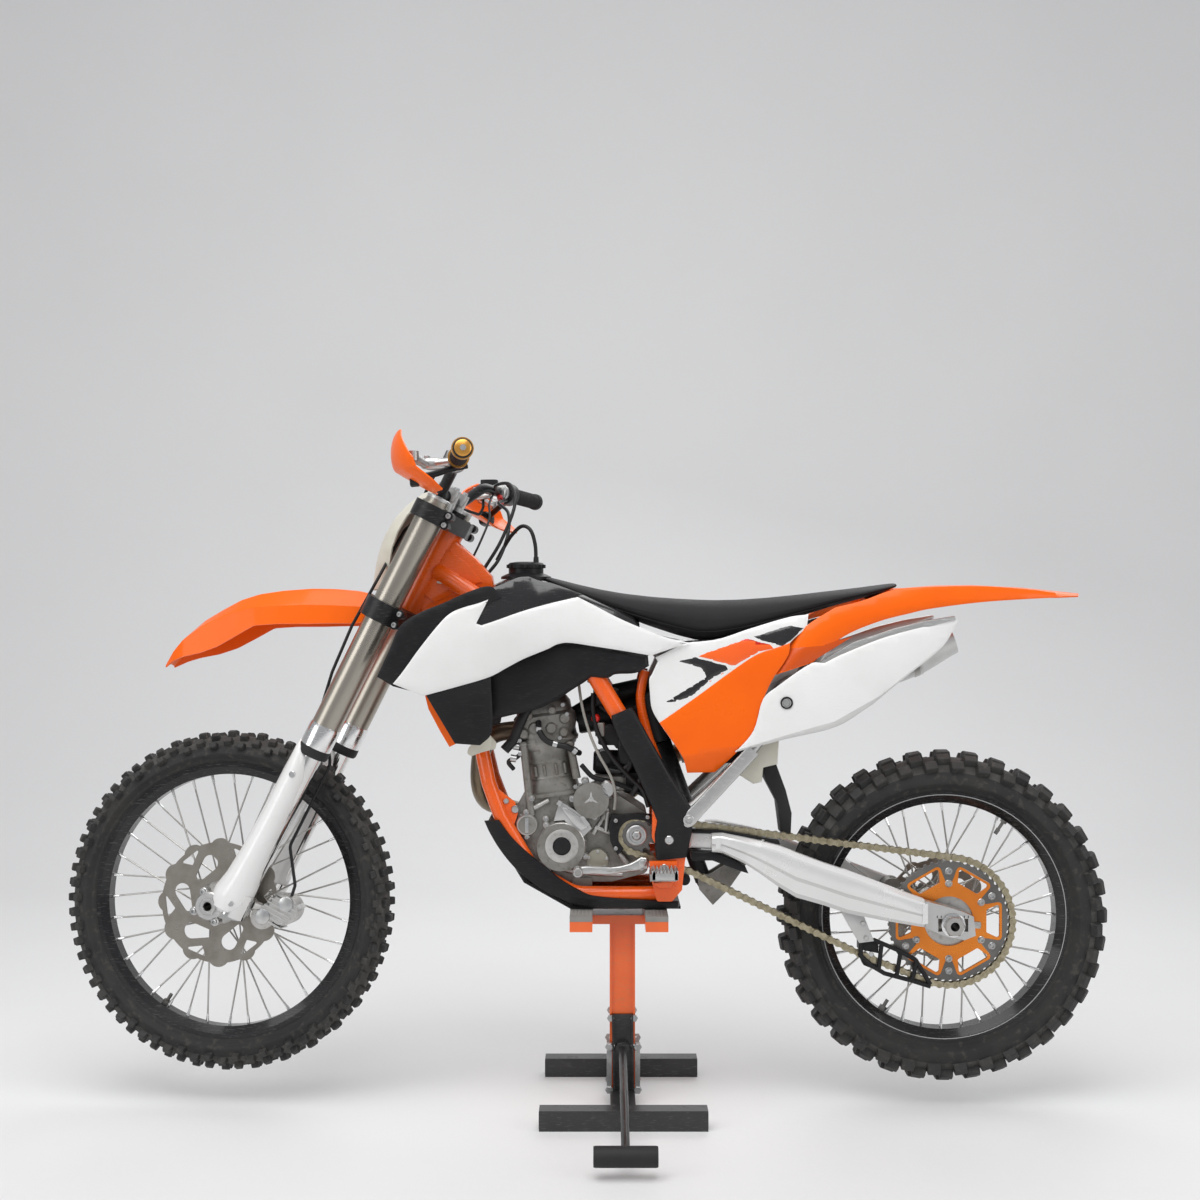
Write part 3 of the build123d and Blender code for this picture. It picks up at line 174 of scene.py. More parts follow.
def surface(name, look):
    # tint and its darker patches, dust, scratches, gloss, and the grain of the surface
    finish, tree, shader, coords = startFinish(name)
    patches = noiseField(tree, coords, look.get("patchScale", 9.0), 5.0)
    share = remap(tree, patches, 0.38, 0.68, 0.0, 1.0)
    tint = mixTint(tree, share, look["tint"], look.get("patch", look["tint"]))
    if "speck" in look:
        specks = noiseField(tree, coords, look.get("speckScale", 160.0), 3.0)
        tint = mixTint(tree, remap(tree, specks, 0.56, 0.72, 0.0, look.get("speckShare", 0.6)), tint, look["speck"])
    low, high = look["gloss"]
    roughness = remap(tree, patches, 0.3, 0.75, low, high)
    if "scratch" in look:
        lines = noiseField(tree, coords, look.get("scratchScale", 60.0), 2.0, look.get("scratchRun", (1, 1, 9)))
        lines = remap(tree, lines, 0.60, 0.66, 0.0, 1.0)
        roughness = combine(tree, "ADD", roughness, combine(tree, "MULTIPLY", lines, look["scratch"]))
        if look.get("scratchTint"):
            tint = mixTint(tree, combine(tree, "MULTIPLY", lines, 0.35), tint, look["scratchTint"])
    tree.links.new(tint, shader.inputs["Base Color"])
    tree.links.new(roughness, shader.inputs["Roughness"])
    shader.inputs["Metallic"].default_value = look.get("metal", 0.0)
    shader.inputs["Specular IOR Level"].default_value = look.get("shine", 0.5)
    shader.inputs["Coat Weight"].default_value = look.get("coat", 0.0)
    shader.inputs["Coat Roughness"].default_value = look.get("coatRough", 0.08)
    shader.inputs["Anisotropic"].default_value = look.get("brushed", 0.0)
    for scale, depth, run in look.get("grain", []):
        addBump(tree, shader, noiseField(tree, coords, scale, 3.0, run), depth)
    return finish


even = (1, 1, 1)
finishes = {}
looks = {
    "framePaint": dict(tint=(0.88, 0.118, 0.004), patch=(0.83, 0.105, 0.003), gloss=(0.22, 0.34), coat=0.4,
                       scratch=0.25, grain=[(420, 0.00012, even)], speck=(0.42, 0.09, 0.02), speckShare=0.25),
    "orangePlastic": dict(shine=0.20, tint=(0.92, 0.135, 0.003), patch=(0.88, 0.122, 0.002), gloss=(0.26, 0.40), coat=0.12,
                          scratch=0.2, grain=[(60, 0.0002, even)]),
    "whitePlastic": dict(tint=(0.80, 0.80, 0.79), patch=(0.76, 0.76, 0.745), gloss=(0.14, 0.26), coat=0.4,
                         scratch=0.2, scratchTint=(0.62, 0.62, 0.61), grain=[(50, 0.00018, even)]),
    "creamPlastic": dict(tint=(0.66, 0.64, 0.55), patch=(0.56, 0.54, 0.45), gloss=(0.28, 0.42),
                         scratch=0.2, grain=[(60, 0.0002, even)]),
    "blackPlastic": dict(shine=0.22, tint=(0.011, 0.011, 0.012), patch=(0.016, 0.016, 0.017), gloss=(0.32, 0.46),
                         scratch=0.1, scratchTint=(0.035, 0.035, 0.035), grain=[(900, 0.00015, even)]),
    "glossBlack": dict(tint=(0.010, 0.010, 0.011), patch=(0.016, 0.016, 0.017), gloss=(0.12, 0.24), coat=0.5,
                       scratch=0.2, grain=[(50, 0.0001, even)]),
    "blackRim": dict(shine=0.2, tint=(0.009, 0.009, 0.010), patch=(0.017, 0.017, 0.018), gloss=(0.16, 0.3), coat=0.4,
                     scratch=0.25, scratchTint=(0.10, 0.10, 0.10), grain=[(300, 0.00008, even)]),
    "blackMetal": dict(shine=0.32, tint=(0.014, 0.014, 0.015), patch=(0.026, 0.026, 0.027), gloss=(0.26, 0.42), metal=0.3,
                       scratch=0.25, scratchTint=(0.12, 0.12, 0.12), grain=[(600, 0.0001, even)]),
    "tyreRubber": dict(shine=0.32, tint=(0.020, 0.020, 0.021), patch=(0.036, 0.035, 0.033), patchScale=14, gloss=(0.62, 0.85),
                       speck=(0.085, 0.078, 0.066), speckScale=70, speckShare=0.55,
                       grain=[(260, 0.0006, even), (1400, 0.0002, even)]),
    "tyreGround": dict(shine=0.32, tint=(0.075, 0.073, 0.069), patch=(0.045, 0.044, 0.042), patchScale=20, gloss=(0.7, 0.9),
                       speck=(0.13, 0.12, 0.105), speckScale=60, speckShare=0.5, grain=[(300, 0.0006, even)]),
    "knobRubber": dict(shine=0.32, tint=(0.026, 0.026, 0.026), patch=(0.050, 0.048, 0.045), patchScale=18, gloss=(0.45, 0.75),
                       speck=(0.09, 0.085, 0.075), speckScale=80, speckShare=0.45, grain=[(420, 0.0004, even)]),
    "gripRubber": dict(shine=0.32, tint=(0.018, 0.018, 0.019), patch=(0.03, 0.03, 0.03), gloss=(0.55, 0.72),
                       grain=[(500, 0.0003, even)]),
    "hoseRubber": dict(shine=0.32, tint=(0.012, 0.012, 0.013), patch=(0.022, 0.022, 0.022), gloss=(0.34, 0.5),
                       grain=[(700, 0.0001, even)]),
    "padRubber": dict(shine=0.3, tint=(0.30, 0.29, 0.27), patch=(0.20, 0.19, 0.18), gloss=(0.5, 0.7), grain=[(300, 0.0003, even)]),
    "bareAlloy": dict(tint=(0.60, 0.60, 0.59), patch=(0.50, 0.50, 0.49), gloss=(0.26, 0.42), metal=0.92,
                      scratch=0.2, scratchTint=(0.75, 0.75, 0.75), grain=[(240, 0.0001, (1, 8, 1))]),
    "brightAlloy": dict(tint=(0.78, 0.78, 0.78), patch=(0.66, 0.66, 0.66), gloss=(0.14, 0.28), metal=1.0,
                        scratch=0.2, grain=[(200, 0.00006, (8, 1, 1))]),
    "castAlloy": dict(tint=(0.30, 0.29, 0.27), patch=(0.20, 0.19, 0.17), patchScale=22, gloss=(0.40, 0.62),
                      metal=0.75, speck=(0.10, 0.085, 0.06), speckScale=90, speckShare=0.45,
                      grain=[(900, 0.0003, even), (130, 0.0003, even)]),
    "coverAlloy": dict(tint=(0.56, 0.55, 0.53), patch=(0.44, 0.43, 0.41), patchScale=26, gloss=(0.32, 0.5),
                       metal=0.8, speck=(0.16, 0.14, 0.11), speckScale=120, speckShare=0.4,
                       grain=[(800, 0.0002, even)]),
    "forkTube": dict(tint=(0.40, 0.37, 0.32), patch=(0.36, 0.335, 0.29), patchScale=3, gloss=(0.24, 0.32),
                     metal=0.85, grain=[(160, 0.00002, (6, 6, 1))]),
    "chromeLeg": dict(tint=(0.72, 0.72, 0.71), patch=(0.64, 0.64, 0.63), gloss=(0.05, 0.12), metal=1.0,
                      grain=[(80, 0.00003, even)]),
    "plainSteel": dict(tint=(0.50, 0.49, 0.47), patch=(0.38, 0.37, 0.35), gloss=(0.24, 0.42), metal=1.0,
                       scratch=0.2, grain=[(500, 0.0001, even)]),
    "darkSteel": dict(tint=(0.20, 0.195, 0.185), patch=(0.13, 0.125, 0.12), gloss=(0.3, 0.5), metal=0.9,
                      scratch=0.2, grain=[(500, 0.0001, even)]),
    "zincSteel": dict(tint=(0.55, 0.55, 0.54), patch=(0.40, 0.41, 0.42), patchScale=60, gloss=(0.28, 0.45),
                      metal=0.9, grain=[(300, 0.0001, even)]),
    "discSteel": dict(tint=(0.31, 0.29, 0.26), patch=(0.23, 0.21, 0.185), patchScale=30, gloss=(0.26, 0.42),
                      metal=0.9, scratch=0.2, grain=[(700, 0.00008, even)]),
    "orangeAlloy": dict(tint=(0.80, 0.25, 0.035), patch=(0.70, 0.20, 0.03), gloss=(0.22, 0.36), metal=0.75,
                        scratch=0.2, grain=[(300, 0.0001, even)]),
    "goldAlloy": dict(tint=(0.80, 0.42, 0.10), patch=(0.68, 0.33, 0.07), gloss=(0.2, 0.34), metal=0.85,
                      grain=[(300, 0.0001, even)]),
    "chainPlate": dict(tint=(0.46, 0.41, 0.29), patch=(0.30, 0.26, 0.17), patchScale=90, gloss=(0.24, 0.44),
                       metal=0.95, grain=[(600, 0.0001, even)]),
    "standPaint": dict(tint=(0.82, 0.135, 0.018), patch=(0.74, 0.11, 0.013), gloss=(0.26, 0.4), coat=0.4,
                       scratch=0.25, scratchTint=(0.5, 0.2, 0.1), grain=[(300, 0.00015, even)]),
    "standBlack": dict(tint=(0.016, 0.016, 0.017), patch=(0.028, 0.028, 0.028), gloss=(0.3, 0.46), coat=0.2,
                       scratch=0.25, scratchTint=(0.14, 0.14, 0.14), grain=[(350, 0.0002, even)]),
    "redPlastic": dict(tint=(0.62, 0.02, 0.015), patch=(0.5, 0.015, 0.01), gloss=(0.25, 0.4),
                       grain=[(300, 0.0001, even)]),
    "beigeCover": dict(tint=(0.36, 0.34, 0.28), patch=(0.28, 0.26, 0.21), gloss=(0.34, 0.5), metal=0.4,
                       grain=[(500, 0.0002, even)]),
    "seatCover": dict(shine=0.16, tint=(0.017, 0.017, 0.018), patch=(0.023, 0.023, 0.024), gloss=(0.52, 0.66),
                      grain=[(1500, 0.0004, even), (300, 0.0002, even)]),
    "clothMesh": dict(tint=(0.03, 0.03, 0.03), patch=(0.05, 0.05, 0.05), gloss=(0.5, 0.7),
                      grain=[(900, 0.0003, even)]),
}
for finishName, finishLook in looks.items():
    finishes[finishName] = surface(finishName, finishLook)
print("finishes made:", len(finishes))


# Stage: one pale sheet that is floor, then curves up into the back

def pushMesh(name, bm, finish, body=None, smooth=35.0):
    # closes a bmesh into an object, shades it smooth with sharp corners, and lets it ride a body
    mesh = bpy.data.meshes.new(name)
    bm.normal_update()
    bm.to_mesh(mesh)
    bm.free()
    piece = bpy.data.objects.new(name, mesh)
    scene.collection.objects.link(piece)
    for item in finish if isinstance(finish, (list, tuple)) else [finish]:
        mesh.materials.append(finishes[item] if isinstance(item, str) else item)
    mesh.shade_smooth()
    mesh.set_sharp_from_angle(angle=math.radians(smooth))
    if body:
        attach(piece, body)
    return piece


sweep = {"front": 6.0, "back": -4.6, "bend": 2.2, "height": 7.0, "halfWidth": 16.0}
floorMesh = bmesh.new()
edgePoints = [(sweep["front"], 0.0), (sweep["back"] + sweep["bend"], 0.0)]
for stepIndex in range(1, 13):
    turn = math.radians(90 * stepIndex / 12)
    edgePoints.append((sweep["back"] + sweep["bend"] - math.sin(turn) * sweep["bend"],
                       sweep["bend"] - math.cos(turn) * sweep["bend"]))
edgePoints.append((sweep["back"], sweep["height"]))
rail = [floorMesh.verts.new((-sweep["halfWidth"], y, z)) for y, z in edgePoints]
railEdges = [floorMesh.edges.new(pair) for pair in zip(rail, rail[1:])]
bmesh.ops.extrude_edge_only(floorMesh, edges=railEdges)
bmesh.ops.translate(floorMesh, verts=[v for v in floorMesh.verts if v not in rail],
                    vec=(2 * sweep["halfWidth"], 0, 0))
stageFinish, stageTree, stageShader, stageCoords = startFinish("paleStage")
stageTint = mixTint(stageTree, remap(stageTree, noiseField(stageTree, stageCoords, 1.1, 6.0), 0.3, 0.75, 0.0, 1.0),
                    (0.70, 0.70, 0.70), (0.675, 0.675, 0.675))
stageTree.links.new(stageTint, stageShader.inputs["Base Color"])
stageShader.inputs["Roughness"].default_value = 0.55
stageShader.inputs["Emission Color"].default_value = (1, 1, 1, 1)
stageShader.inputs["Emission Strength"].default_value = 0.10
addBump(stageTree, stageShader, noiseField(stageTree, stageCoords, 60.0, 4.0), 0.0006)
stagePiece = pushMesh("paleFloor", floorMesh, stageFinish)
print("stage ready")

# CAD pieces that stay, each with its finish

keptFinish = {
    "frame": "framePaint", "subframe": "bareAlloy", "skid_plate": "blackPlastic", "frame_guards": "blackPlastic",
    "crankcase": "castAlloy", "cylinder": "castAlloy", "exhaust": "plainSteel", "radiators": "bareAlloy",
    "shrouds": "whitePlastic", "shroud_louvres": "blackPlastic", "fuel_tank": "glossBlack", "seat": "seatCover",
    "rear_fender": "orangePlastic", "side_panels": "orangePlastic", "tail_panels": "whitePlastic",
    "airbox": "blackPlastic", "shock_absorber": "blackMetal", "shock_linkage": "castAlloy",
    "swingarm": "bareAlloy", "swingarm_ends": "bareAlloy", "chain": "chainPlate", "chain_guide": "blackPlastic",
    "drive_sprocket": "darkSteel", "foot_controls": "plainSteel", "rear_caliper": "castAlloy",
    "rear_axle": "plainSteel", "stand_base": "standBlack", "stand_column": "standPaint",
    "stand_pads": "padRubber", "stand_pedal": "standBlack", "fork_clamps": "blackMetal", "fork_tubes": "forkTube",
    "fork_legs": "chromeLeg", "fork_guards": "whitePlastic", "handlebar": "blackMetal", "bar_clamps": "bareAlloy",
    "grips": "gripRubber", "hand_controls": "bareAlloy", "hand_guards": "orangePlastic",
    "front_fender": "orangePlastic", "number_plate": "creamPlastic", "front_caliper": "coverAlloy",
    "front_axle": "plainSteel", "front_tyre": "tyreRubber", "rear_tyre": "tyreRubber", "front_rim": "blackRim",
    "rear_rim": "blackRim", "front_hub": "coverAlloy", "rear_hub": "coverAlloy", "front_spokes": "plainSteel",
    "rear_spokes": "plainSteel", "front_disc": "discSteel", "rear_disc": "discSteel",
    "rear_sprocket": "orangeAlloy", "rear_sprocket_ring": "darkSteel", "chain_roller": "blackPlastic",
    "brake_hose": "hoseRubber",
}
for nodeName, node in nodes.items():
    node.data.materials.clear()
    node.data.materials.append(finishes[keptFinish.get(nodeName, "blackPlastic")])


# Places shared by the wheels and the steering pieces

steerFoot = Vector(joints["steering"]["pos_m"])
steerAxis = Vector(joints["steering"]["axis"])
forkAhead = Vector((steerAxis.z, 0, -steerAxis.x))
steerTurn = (Matrix.Translation(steerFoot) @ Matrix.Rotation(math.radians(-8), 4, steerAxis)
             @ Matrix.Translation(-steerFoot))
rearHub = Vector(joints["rear_wheel_spin"]["pos_m"])
frontHub = steerFoot + steerAxis * -0.376 + forkAhead * 0.067


def forkSpot(along, lead, side):
    # millimetres up the fork, ahead of the steering line and to the left
    return steerFoot + steerAxis * (along / 1000) + forkAhead * (lead / 1000) + Vector((0, side / 1000, 0))


def lineUp(start, end):
    # the turn that lays a piece made along Z between two points, and the run's length
    start, end = Vector(start), Vector(end)
    run = end - start
    return Matrix.Translation((start + end) / 2) @ run.to_track_quat("Z", "Y").to_matrix().to_4x4(), run.length


def addRod(bm, start, end, radius, radiusEnd=None, sides=16, slot=0):
    turn, length = lineUp(start, end)
    made = bmesh.ops.create_cone(bm, cap_ends=True, segments=sides, radius1=radius,
                                 radius2=radius if radiusEnd is None else radiusEnd, depth=length, matrix=turn)
    for face in {f for v in made["verts"] for f in v.link_faces}:
        face.material_index = slot
    return made["verts"]


def addTurned(bm, profile, turn, steps=48, slot=0, closed=True):
    # profile points of radius and distance along the axis, turned right round that axis (local Z)
    start = [bm.verts.new((radius, 0, along)) for radius, along in profile]
    edges = [bm.edges.new(pair) for pair in zip(start, start[1:])]
    if closed:
        edges.append(bm.edges.new((start[-1], start[0])))
    before = set(bm.faces)
    bmesh.ops.spin(bm, geom=start + edges, cent=(0, 0, 0), axis=(0, 0, 1), angle=math.tau, steps=steps, use_merge=True)
    fresh = [f for f in bm.faces if f not in before]
    verts = list({v for f in fresh for v in f.verts})
    bmesh.ops.remove_doubles(bm, verts=verts, dist=0.00001)
    fresh = [f for f in bm.faces if f not in before]
    bmesh.ops.recalc_face_normals(bm, faces=fresh)
    verts = list({v for f in fresh for v in f.verts})
    for face in fresh:
        face.material_index = slot
    bmesh.ops.transform(bm, matrix=turn, verts=verts)
    return verts


def addBolt(bm, spot, facing, size, height=None, sides=6, slot=0, socket=False):
    # a bolt head with a softened rim that stands on a surface, hollow in the middle where asked
    height = height or size * 0.6
    rim = size * 0.16
    profile = [(0, -height * 0.2), (size, -height * 0.2), (size, height - rim), (size - rim, height)]
    if socket:
        profile += [(size * 0.56, height), (size * 0.50, height * 0.35)]
    profile.append((0, profile[-1][1]))
    turn = Matrix.Translation(Vector(spot)) @ Vector(facing).to_track_quat("Z", "Y").to_matrix().to_4x4()
    addTurned(bm, profile, turn, steps=sides, slot=slot, closed=False)


def wheelTurn(hub, turn=Matrix.Identity(4)):
    # puts a piece made round Z onto a wheel's axle, with local Z to the bike's left
    return turn @ Matrix.Translation(hub) @ Matrix.Rotation(math.radians(-90), 4, "X")


# Tyres: a moulded carcass with rows of knobs

tyres = {
    "front": {"radius": 348.5, "halfWidth": 45.0, "crown": 47.0, "rim": 282.5, "rimHalf": 22.0, "depth": 11.0,
              "pitches": 34, "rows": [  # share of a pitch, side angle, width, length, height
                  (0.0, 13.0, 12.5, 14.0, 11.0), (0.5, 31.0, 12.5, 15.0, 11.5),
                  (0.0, 51.0, 12.0, 16.0, 11.5), (0.5, 66.0, 11.0, 14.0, 10.5)]},
    "rear": {"radius": 340.3, "halfWidth": 61.0, "crown": 64.0, "rim": 257.5, "rimHalf": 29.0, "depth": 14.5,
             "pitches": 36, "rows": [(0.0, 10.0, 18.0, 27.0, 14.5), (0.06, 32.0, 17.5, 26.0, 15.0),
                                     (0.56, 53.0, 18.0, 25.0, 16.0)]},
}


def knobBlock(bm, width, length, height, turn):
    # a tapered tread block: its base is wider than its top, with softened corners
    made = bmesh.ops.create_cube(bm, size=1.0)["verts"]
    bmesh.ops.scale(bm, vec=(length / 1000, width / 1000, (height + 3) / 1000), verts=made)
    bmesh.ops.translate(bm, vec=(0, 0, -(height + 3) / 2000), verts=made)
    base = [v for v in made if v.co.z < -height / 2000]
    bmesh.ops.scale(bm, vec=(1.2, 1.16, 1), verts=base)
    top = [e for e in bm.edges if e.verts[0] in made and e.verts[1] in made
           and (e.verts[0].co.z > -0.001 or e.verts[1].co.z > -0.001)]
    softened = bmesh.ops.bevel(bm, geom=top, offset=0.0013, segments=1, profile=0.5, affect="EDGES", material=-1)
    verts = list({v for f in softened["faces"] for v in f.verts} | {v for v in made if v.is_valid})
    bmesh.ops.transform(bm, matrix=turn, verts=verts)


def makeTyre(side, size, place, body):
    treads = bmesh.new()
    pitch = math.tau / size["pitches"]
    crownMiddle = size["radius"] - size["crown"]
    for share, sideAngle, width, length, height in size["rows"]:
        for way in (1, -1):
            tilt = math.radians(sideAngle) * way
            spot = Vector((0, math.sin(tilt) * size["crown"], crownMiddle + math.cos(tilt) * size["crown"])) / 1000
            turn = (Matrix.Rotation(pitch * share, 4, "Y") @ Matrix.Translation(spot)
                    @ Matrix.Rotation(-tilt, 4, "X") @ Matrix.Rotation(math.radians(5 * way), 4, "Z"))
            knobBlock(treads, width, length, height, turn)
    bmesh.ops.spin(treads, geom=treads.verts[:] + treads.edges[:] + treads.faces[:], cent=(0, 0, 0), axis=(0, 1, 0),
                   angle=math.tau - pitch, steps=size["pitches"] - 1, use_duplicate=True)
    bmesh.ops.transform(treads, matrix=place @ Matrix.Rotation(math.radians(90), 4, "X"), verts=treads.verts)
    rim, half, wall = size["rim"], size["rimHalf"], size["halfWidth"]
    ground = size["crown"] - size["depth"]
    outline = [(rim + 0.4, half - 0.4), (rim + 3, half + 2.6), (rim + 5, half + 4.4), (rim + 7, half + 4.2),
               (rim + 10, half + 5.6), (rim + 16, wall * 0.78), (rim + 18, wall * 0.78 + 0.8), (rim + 20, wall * 0.80)]
    last = outline[-1]
    for sideAngle in range(80, -1, -8):
        tilt = math.radians(sideAngle)
        spot = (crownMiddle + math.cos(tilt) * ground, math.sin(tilt) * ground * (wall - 11) / ground
                if ground > wall - 11 else math.sin(tilt) * ground)
        if spot[0] > last[0] + 3:
            outline.append(spot)
    profile = [(r / 1000, y / 1000) for r, y in outline]
    profile += [(r, -y) for r, y in reversed(profile[:-1])]
    profile += [((rim - 8) / 1000, -(half - 6.5) / 1000), ((rim - 8) / 1000, (half - 6.5) / 1000)]
    carcass = bmesh.new()
    addTurned(carcass, profile, Matrix.Identity(4), steps=144)
    for face in carcass.faces:
        middle = face.calc_center_median()
        if math.hypot(middle.x, middle.y) > (size["radius"] - size["crown"] * 0.62) / 1000:
            face.material_index = 1
    bmesh.ops.transform(carcass, matrix=place, verts=carcass.verts)
    carcassPiece = pushMesh(side + "TyreCarcass", carcass, ["tyreRubber", "tyreGround"], body, 50)
    treadPiece = pushMesh(side + "TyreKnobs", treads, "knobRubber", body, 30)
    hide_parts(side + "_tyre")


frontPlace = wheelTurn(frontHub, steerTurn)
rearPlace = wheelTurn(rearHub)
makeTyre("front", tyres["front"], frontPlace, "front_wheel")
makeTyre("rear", tyres["rear"], rearPlace, "rear_wheel")
print("tyres made")

# Spoke nipples, valves, rim locks and the rear rim's thin stripe

lacing = {
    "front": {"flange": 34.0, "flangeAcross": 35.0, "rimInner": 258.0, "place": frontPlace, "body": "front_wheel"},
    "rear": {"flange": 40.0, "flangeAcross": 33.0, "rimInner": 233.0, "place": rearPlace, "body": "rear_wheel"},
}
for side, lace in lacing.items():
    nipples = bmesh.new()
    for way in (1, -1):
        for count in range(18):
            leads = count % 2 == 0
            hubAngle = math.radians((0 if way > 0 else 10) + count * 20)
            rimAngle = hubAngle + math.radians(60 if leads else -60)
            hubAcross = way * (lace["flangeAcross"] + (7.9 if leads else -5.1))
            rimAcross = way * (5 if leads else 1)
            start = Vector((lace["flange"] * math.cos(hubAngle), -lace["flange"] * math.sin(hubAngle), hubAcross)) / 1000
            reach = lace["rimInner"] + 0.4
            end = Vector((reach * math.cos(rimAngle), -reach * math.sin(rimAngle), rimAcross)) / 1000
            run = (end - start).normalized()
            addRod(nipples, end - run * 0.019, end - run * 0.010, 0.0026, 0.0030, 8)
            addRod(nipples, end - run * 0.010, end, 0.0030, 0.0036, 8)
    bmesh.ops.transform(nipples, matrix=lace["place"], verts=nipples.verts)
    nipplePiece = pushMesh(side + "Nipples", nipples, "brightAlloy", lace["body"])
    valve = bmesh.new()
    inner = lace["rimInner"]
    for angle, kind in ((236, "valve"), (58, "lock")):
        out = Vector((math.cos(math.radians(angle)), math.sin(math.radians(angle)), 0))
        if kind == "valve":
            addRod(valve, out * (inner + 1) / 1000, out * (inner - 26) / 1000, 0.0038, 0.0032, 12)
            addRod(valve, out * (inner - 20) / 1000, out * (inner - 33) / 1000, 0.0046, 0.0042, 12)
            addRod(valve, out * (inner + 0.5) / 1000, out * (inner - 5) / 1000, 0.0075, 0.0070, 6)
        else:
            addRod(valve, out * (inner + 1) / 1000, out * (inner - 24) / 1000, 0.0038, None, 12)
            addRod(valve, out * (inner + 0.5) / 1000, out * (inner - 9) / 1000, 0.0085, 0.0080, 6)
    bmesh.ops.transform(valve, matrix=lace["place"], verts=valve.verts)
    pushMesh(side + "ValveAndLock", valve, "darkSteel", lace["body"])

stripe = {"radius": 250.5, "width": 1.6, "across": 29.0}
stripeMesh = bmesh.new()
for way in (1, -1):
    low, high = (stripe["radius"] - stripe["width"] / 2) / 1000, (stripe["radius"] + stripe["width"] / 2) / 1000
    face = stripe["across"] / 1000 * way
    addTurned(stripeMesh, [(low, face - 0.0004 * way), (low, face + 0.0002 * way), (high, face + 0.0002 * way),
                           (high, face - 0.0004 * way)], rearPlace, steps=96)
stripeLook = surface("greyTape", dict(tint=(0.42, 0.42, 0.42), patch=(0.34, 0.34, 0.34), gloss=(0.3, 0.45)))
pushMesh("rearRimStripe", stripeMesh, stripeLook, "rear_wheel")
print("wheel fittings made")

# Moulded panels, each cut from an outline and shaped by a depth rule

def curveLine(points, sharp, cuts=5):
    # a closed line through points of X and Z, smooth except at the sharp ones
    count, line = len(points), []
    for index in range(count):
        after = (index + 1) % count
        first, second = Vector(points[index]), Vector(points[after])
        before = first if index in sharp else Vector(points[index - 1])
        beyond = second if after in sharp else Vector(points[(after + 1) % count])
        step, back, ahead = (second - first).length, (first - before).length, (beyond - second).length
        leave = (second - before) * step / (step + back)
        arrive = (beyond - first) * step / (step + ahead)
        if index in sharp and after in sharp:
            line.append(first)
            continue
        for part in range(cuts):
            t = part / cuts
            line.append(first * (2 * t**3 - 3 * t**2 + 1) + leave * (t**3 - 2 * t**2 + t)
                        + second * (3 * t**2 - 2 * t**3) + arrive * (t**3 - t**2))
    return line


def edgeGap(line, x, z):
    # how far a point lies from an outline
    best = 1e9
    for start, end in zip(line, line[1:] + line[:1]):
        run = end - start
        share = max(0.0, min(1.0, ((x - start.x) * run.x + (z - start.y) * run.y) / max(run.length_squared, 1e-9)))
        best = min(best, math.hypot(start.x + run.x * share - x, start.y + run.y * share - z))
    return best


def blend(table, x):
    # a smooth value between the rows of a table of pairs, in rising order
    if x <= table[0][0]:
        return table[0][1]
    for (low, first), (high, second) in zip(table, table[1:]):
        if x <= high:
            t = (x - low) / (high - low)
            return first + (second - first) * t
    return table[-1][1]


def thicken(flat, wall):
    # a closed shell: the sheet's copy moves inward by the wall along each vertex's own normal
    flat.normal_update()
    way = flat.verts.layers.float_vector.new("way")
    for vert in flat.verts:
        vert[way] = vert.normal * wall
    made = bmesh.ops.extrude_face_region(flat, geom=flat.faces[:])
    for vert in made["geom"]:
        if isinstance(vert, bmesh.types.BMVert):
            vert.co -= vert[way]


def addPanel(bm, points, depth, sharp=(), wall=3.2, roll=(5.0, 1.6), spacing=16.0, creases=(), lift=0.0, slot=0,
             sides=(1,), inset=True):
    # outline in millimetres of X and Z; depth(x, z) is the outer face's distance from the middle
    line = curveLine(points, sharp)
    for side in sides:
        flat = bmesh.new()
        flat.faces.new([flat.verts.new((spot.x, 0, spot.y)) for spot in line])
        if inset:
            for step in (roll[0] * 0.35, roll[0] * 0.65):
                middle = max(flat.faces, key=lambda face: face.calc_area())
                bmesh.ops.inset_region(flat, faces=[middle], thickness=step, use_even_offset=False, use_boundary=True)
        lows = [min(spot[axis] for spot in line) for axis in (0, 1)]
        highs = [max(spot[axis] for spot in line) for axis in (0, 1)]
        for axis, normal in ((0, (1, 0, 0)), (1, (0, 0, 1))):
            place = lows[axis] + spacing * 0.5
            while place < highs[axis]:
                spot = (place, 0, 0) if axis == 0 else (0, 0, place)
                bmesh.ops.bisect_plane(flat, geom=flat.verts[:] + flat.edges[:] + flat.faces[:], plane_co=spot,
                                       plane_no=normal, dist=0.01)
                place += spacing
        for (x1, z1), (x2, z2) in creases:
            bmesh.ops.bisect_plane(flat, geom=flat.verts[:] + flat.edges[:] + flat.faces[:], plane_co=(x1, 0, z1),
                                   plane_no=(z2 - z1, 0, x1 - x2), dist=0.01)
        bmesh.ops.remove_doubles(flat, verts=flat.verts, dist=0.05)
        for vert in flat.verts:
            gap = edgeGap(line, vert.co.x, vert.co.z)
            rolled = roll[1] * max(0.0, 1 - gap / roll[0]) ** 2
            vert.co.y = (depth(vert.co.x, vert.co.z) + lift - rolled) * side
        bmesh.ops.recalc_face_normals(flat, faces=flat.faces)
        outward = sum(face.normal.y * face.calc_area() for face in flat.faces) * side
        if outward < 0:
            bmesh.ops.reverse_faces(flat, faces=flat.faces)
        thicken(flat, wall)
        bmesh.ops.recalc_face_normals(flat, faces=flat.faces)
        for face in flat.faces:
            face.material_index = slot
        bmesh.ops.scale(flat, vec=(0.001, 0.001, 0.001), verts=flat.verts)
        holder = bpy.data.meshes.new("panelHolder")
        flat.to_mesh(holder)
        flat.free()
        bm.from_mesh(holder)
        bpy.data.meshes.remove(holder)


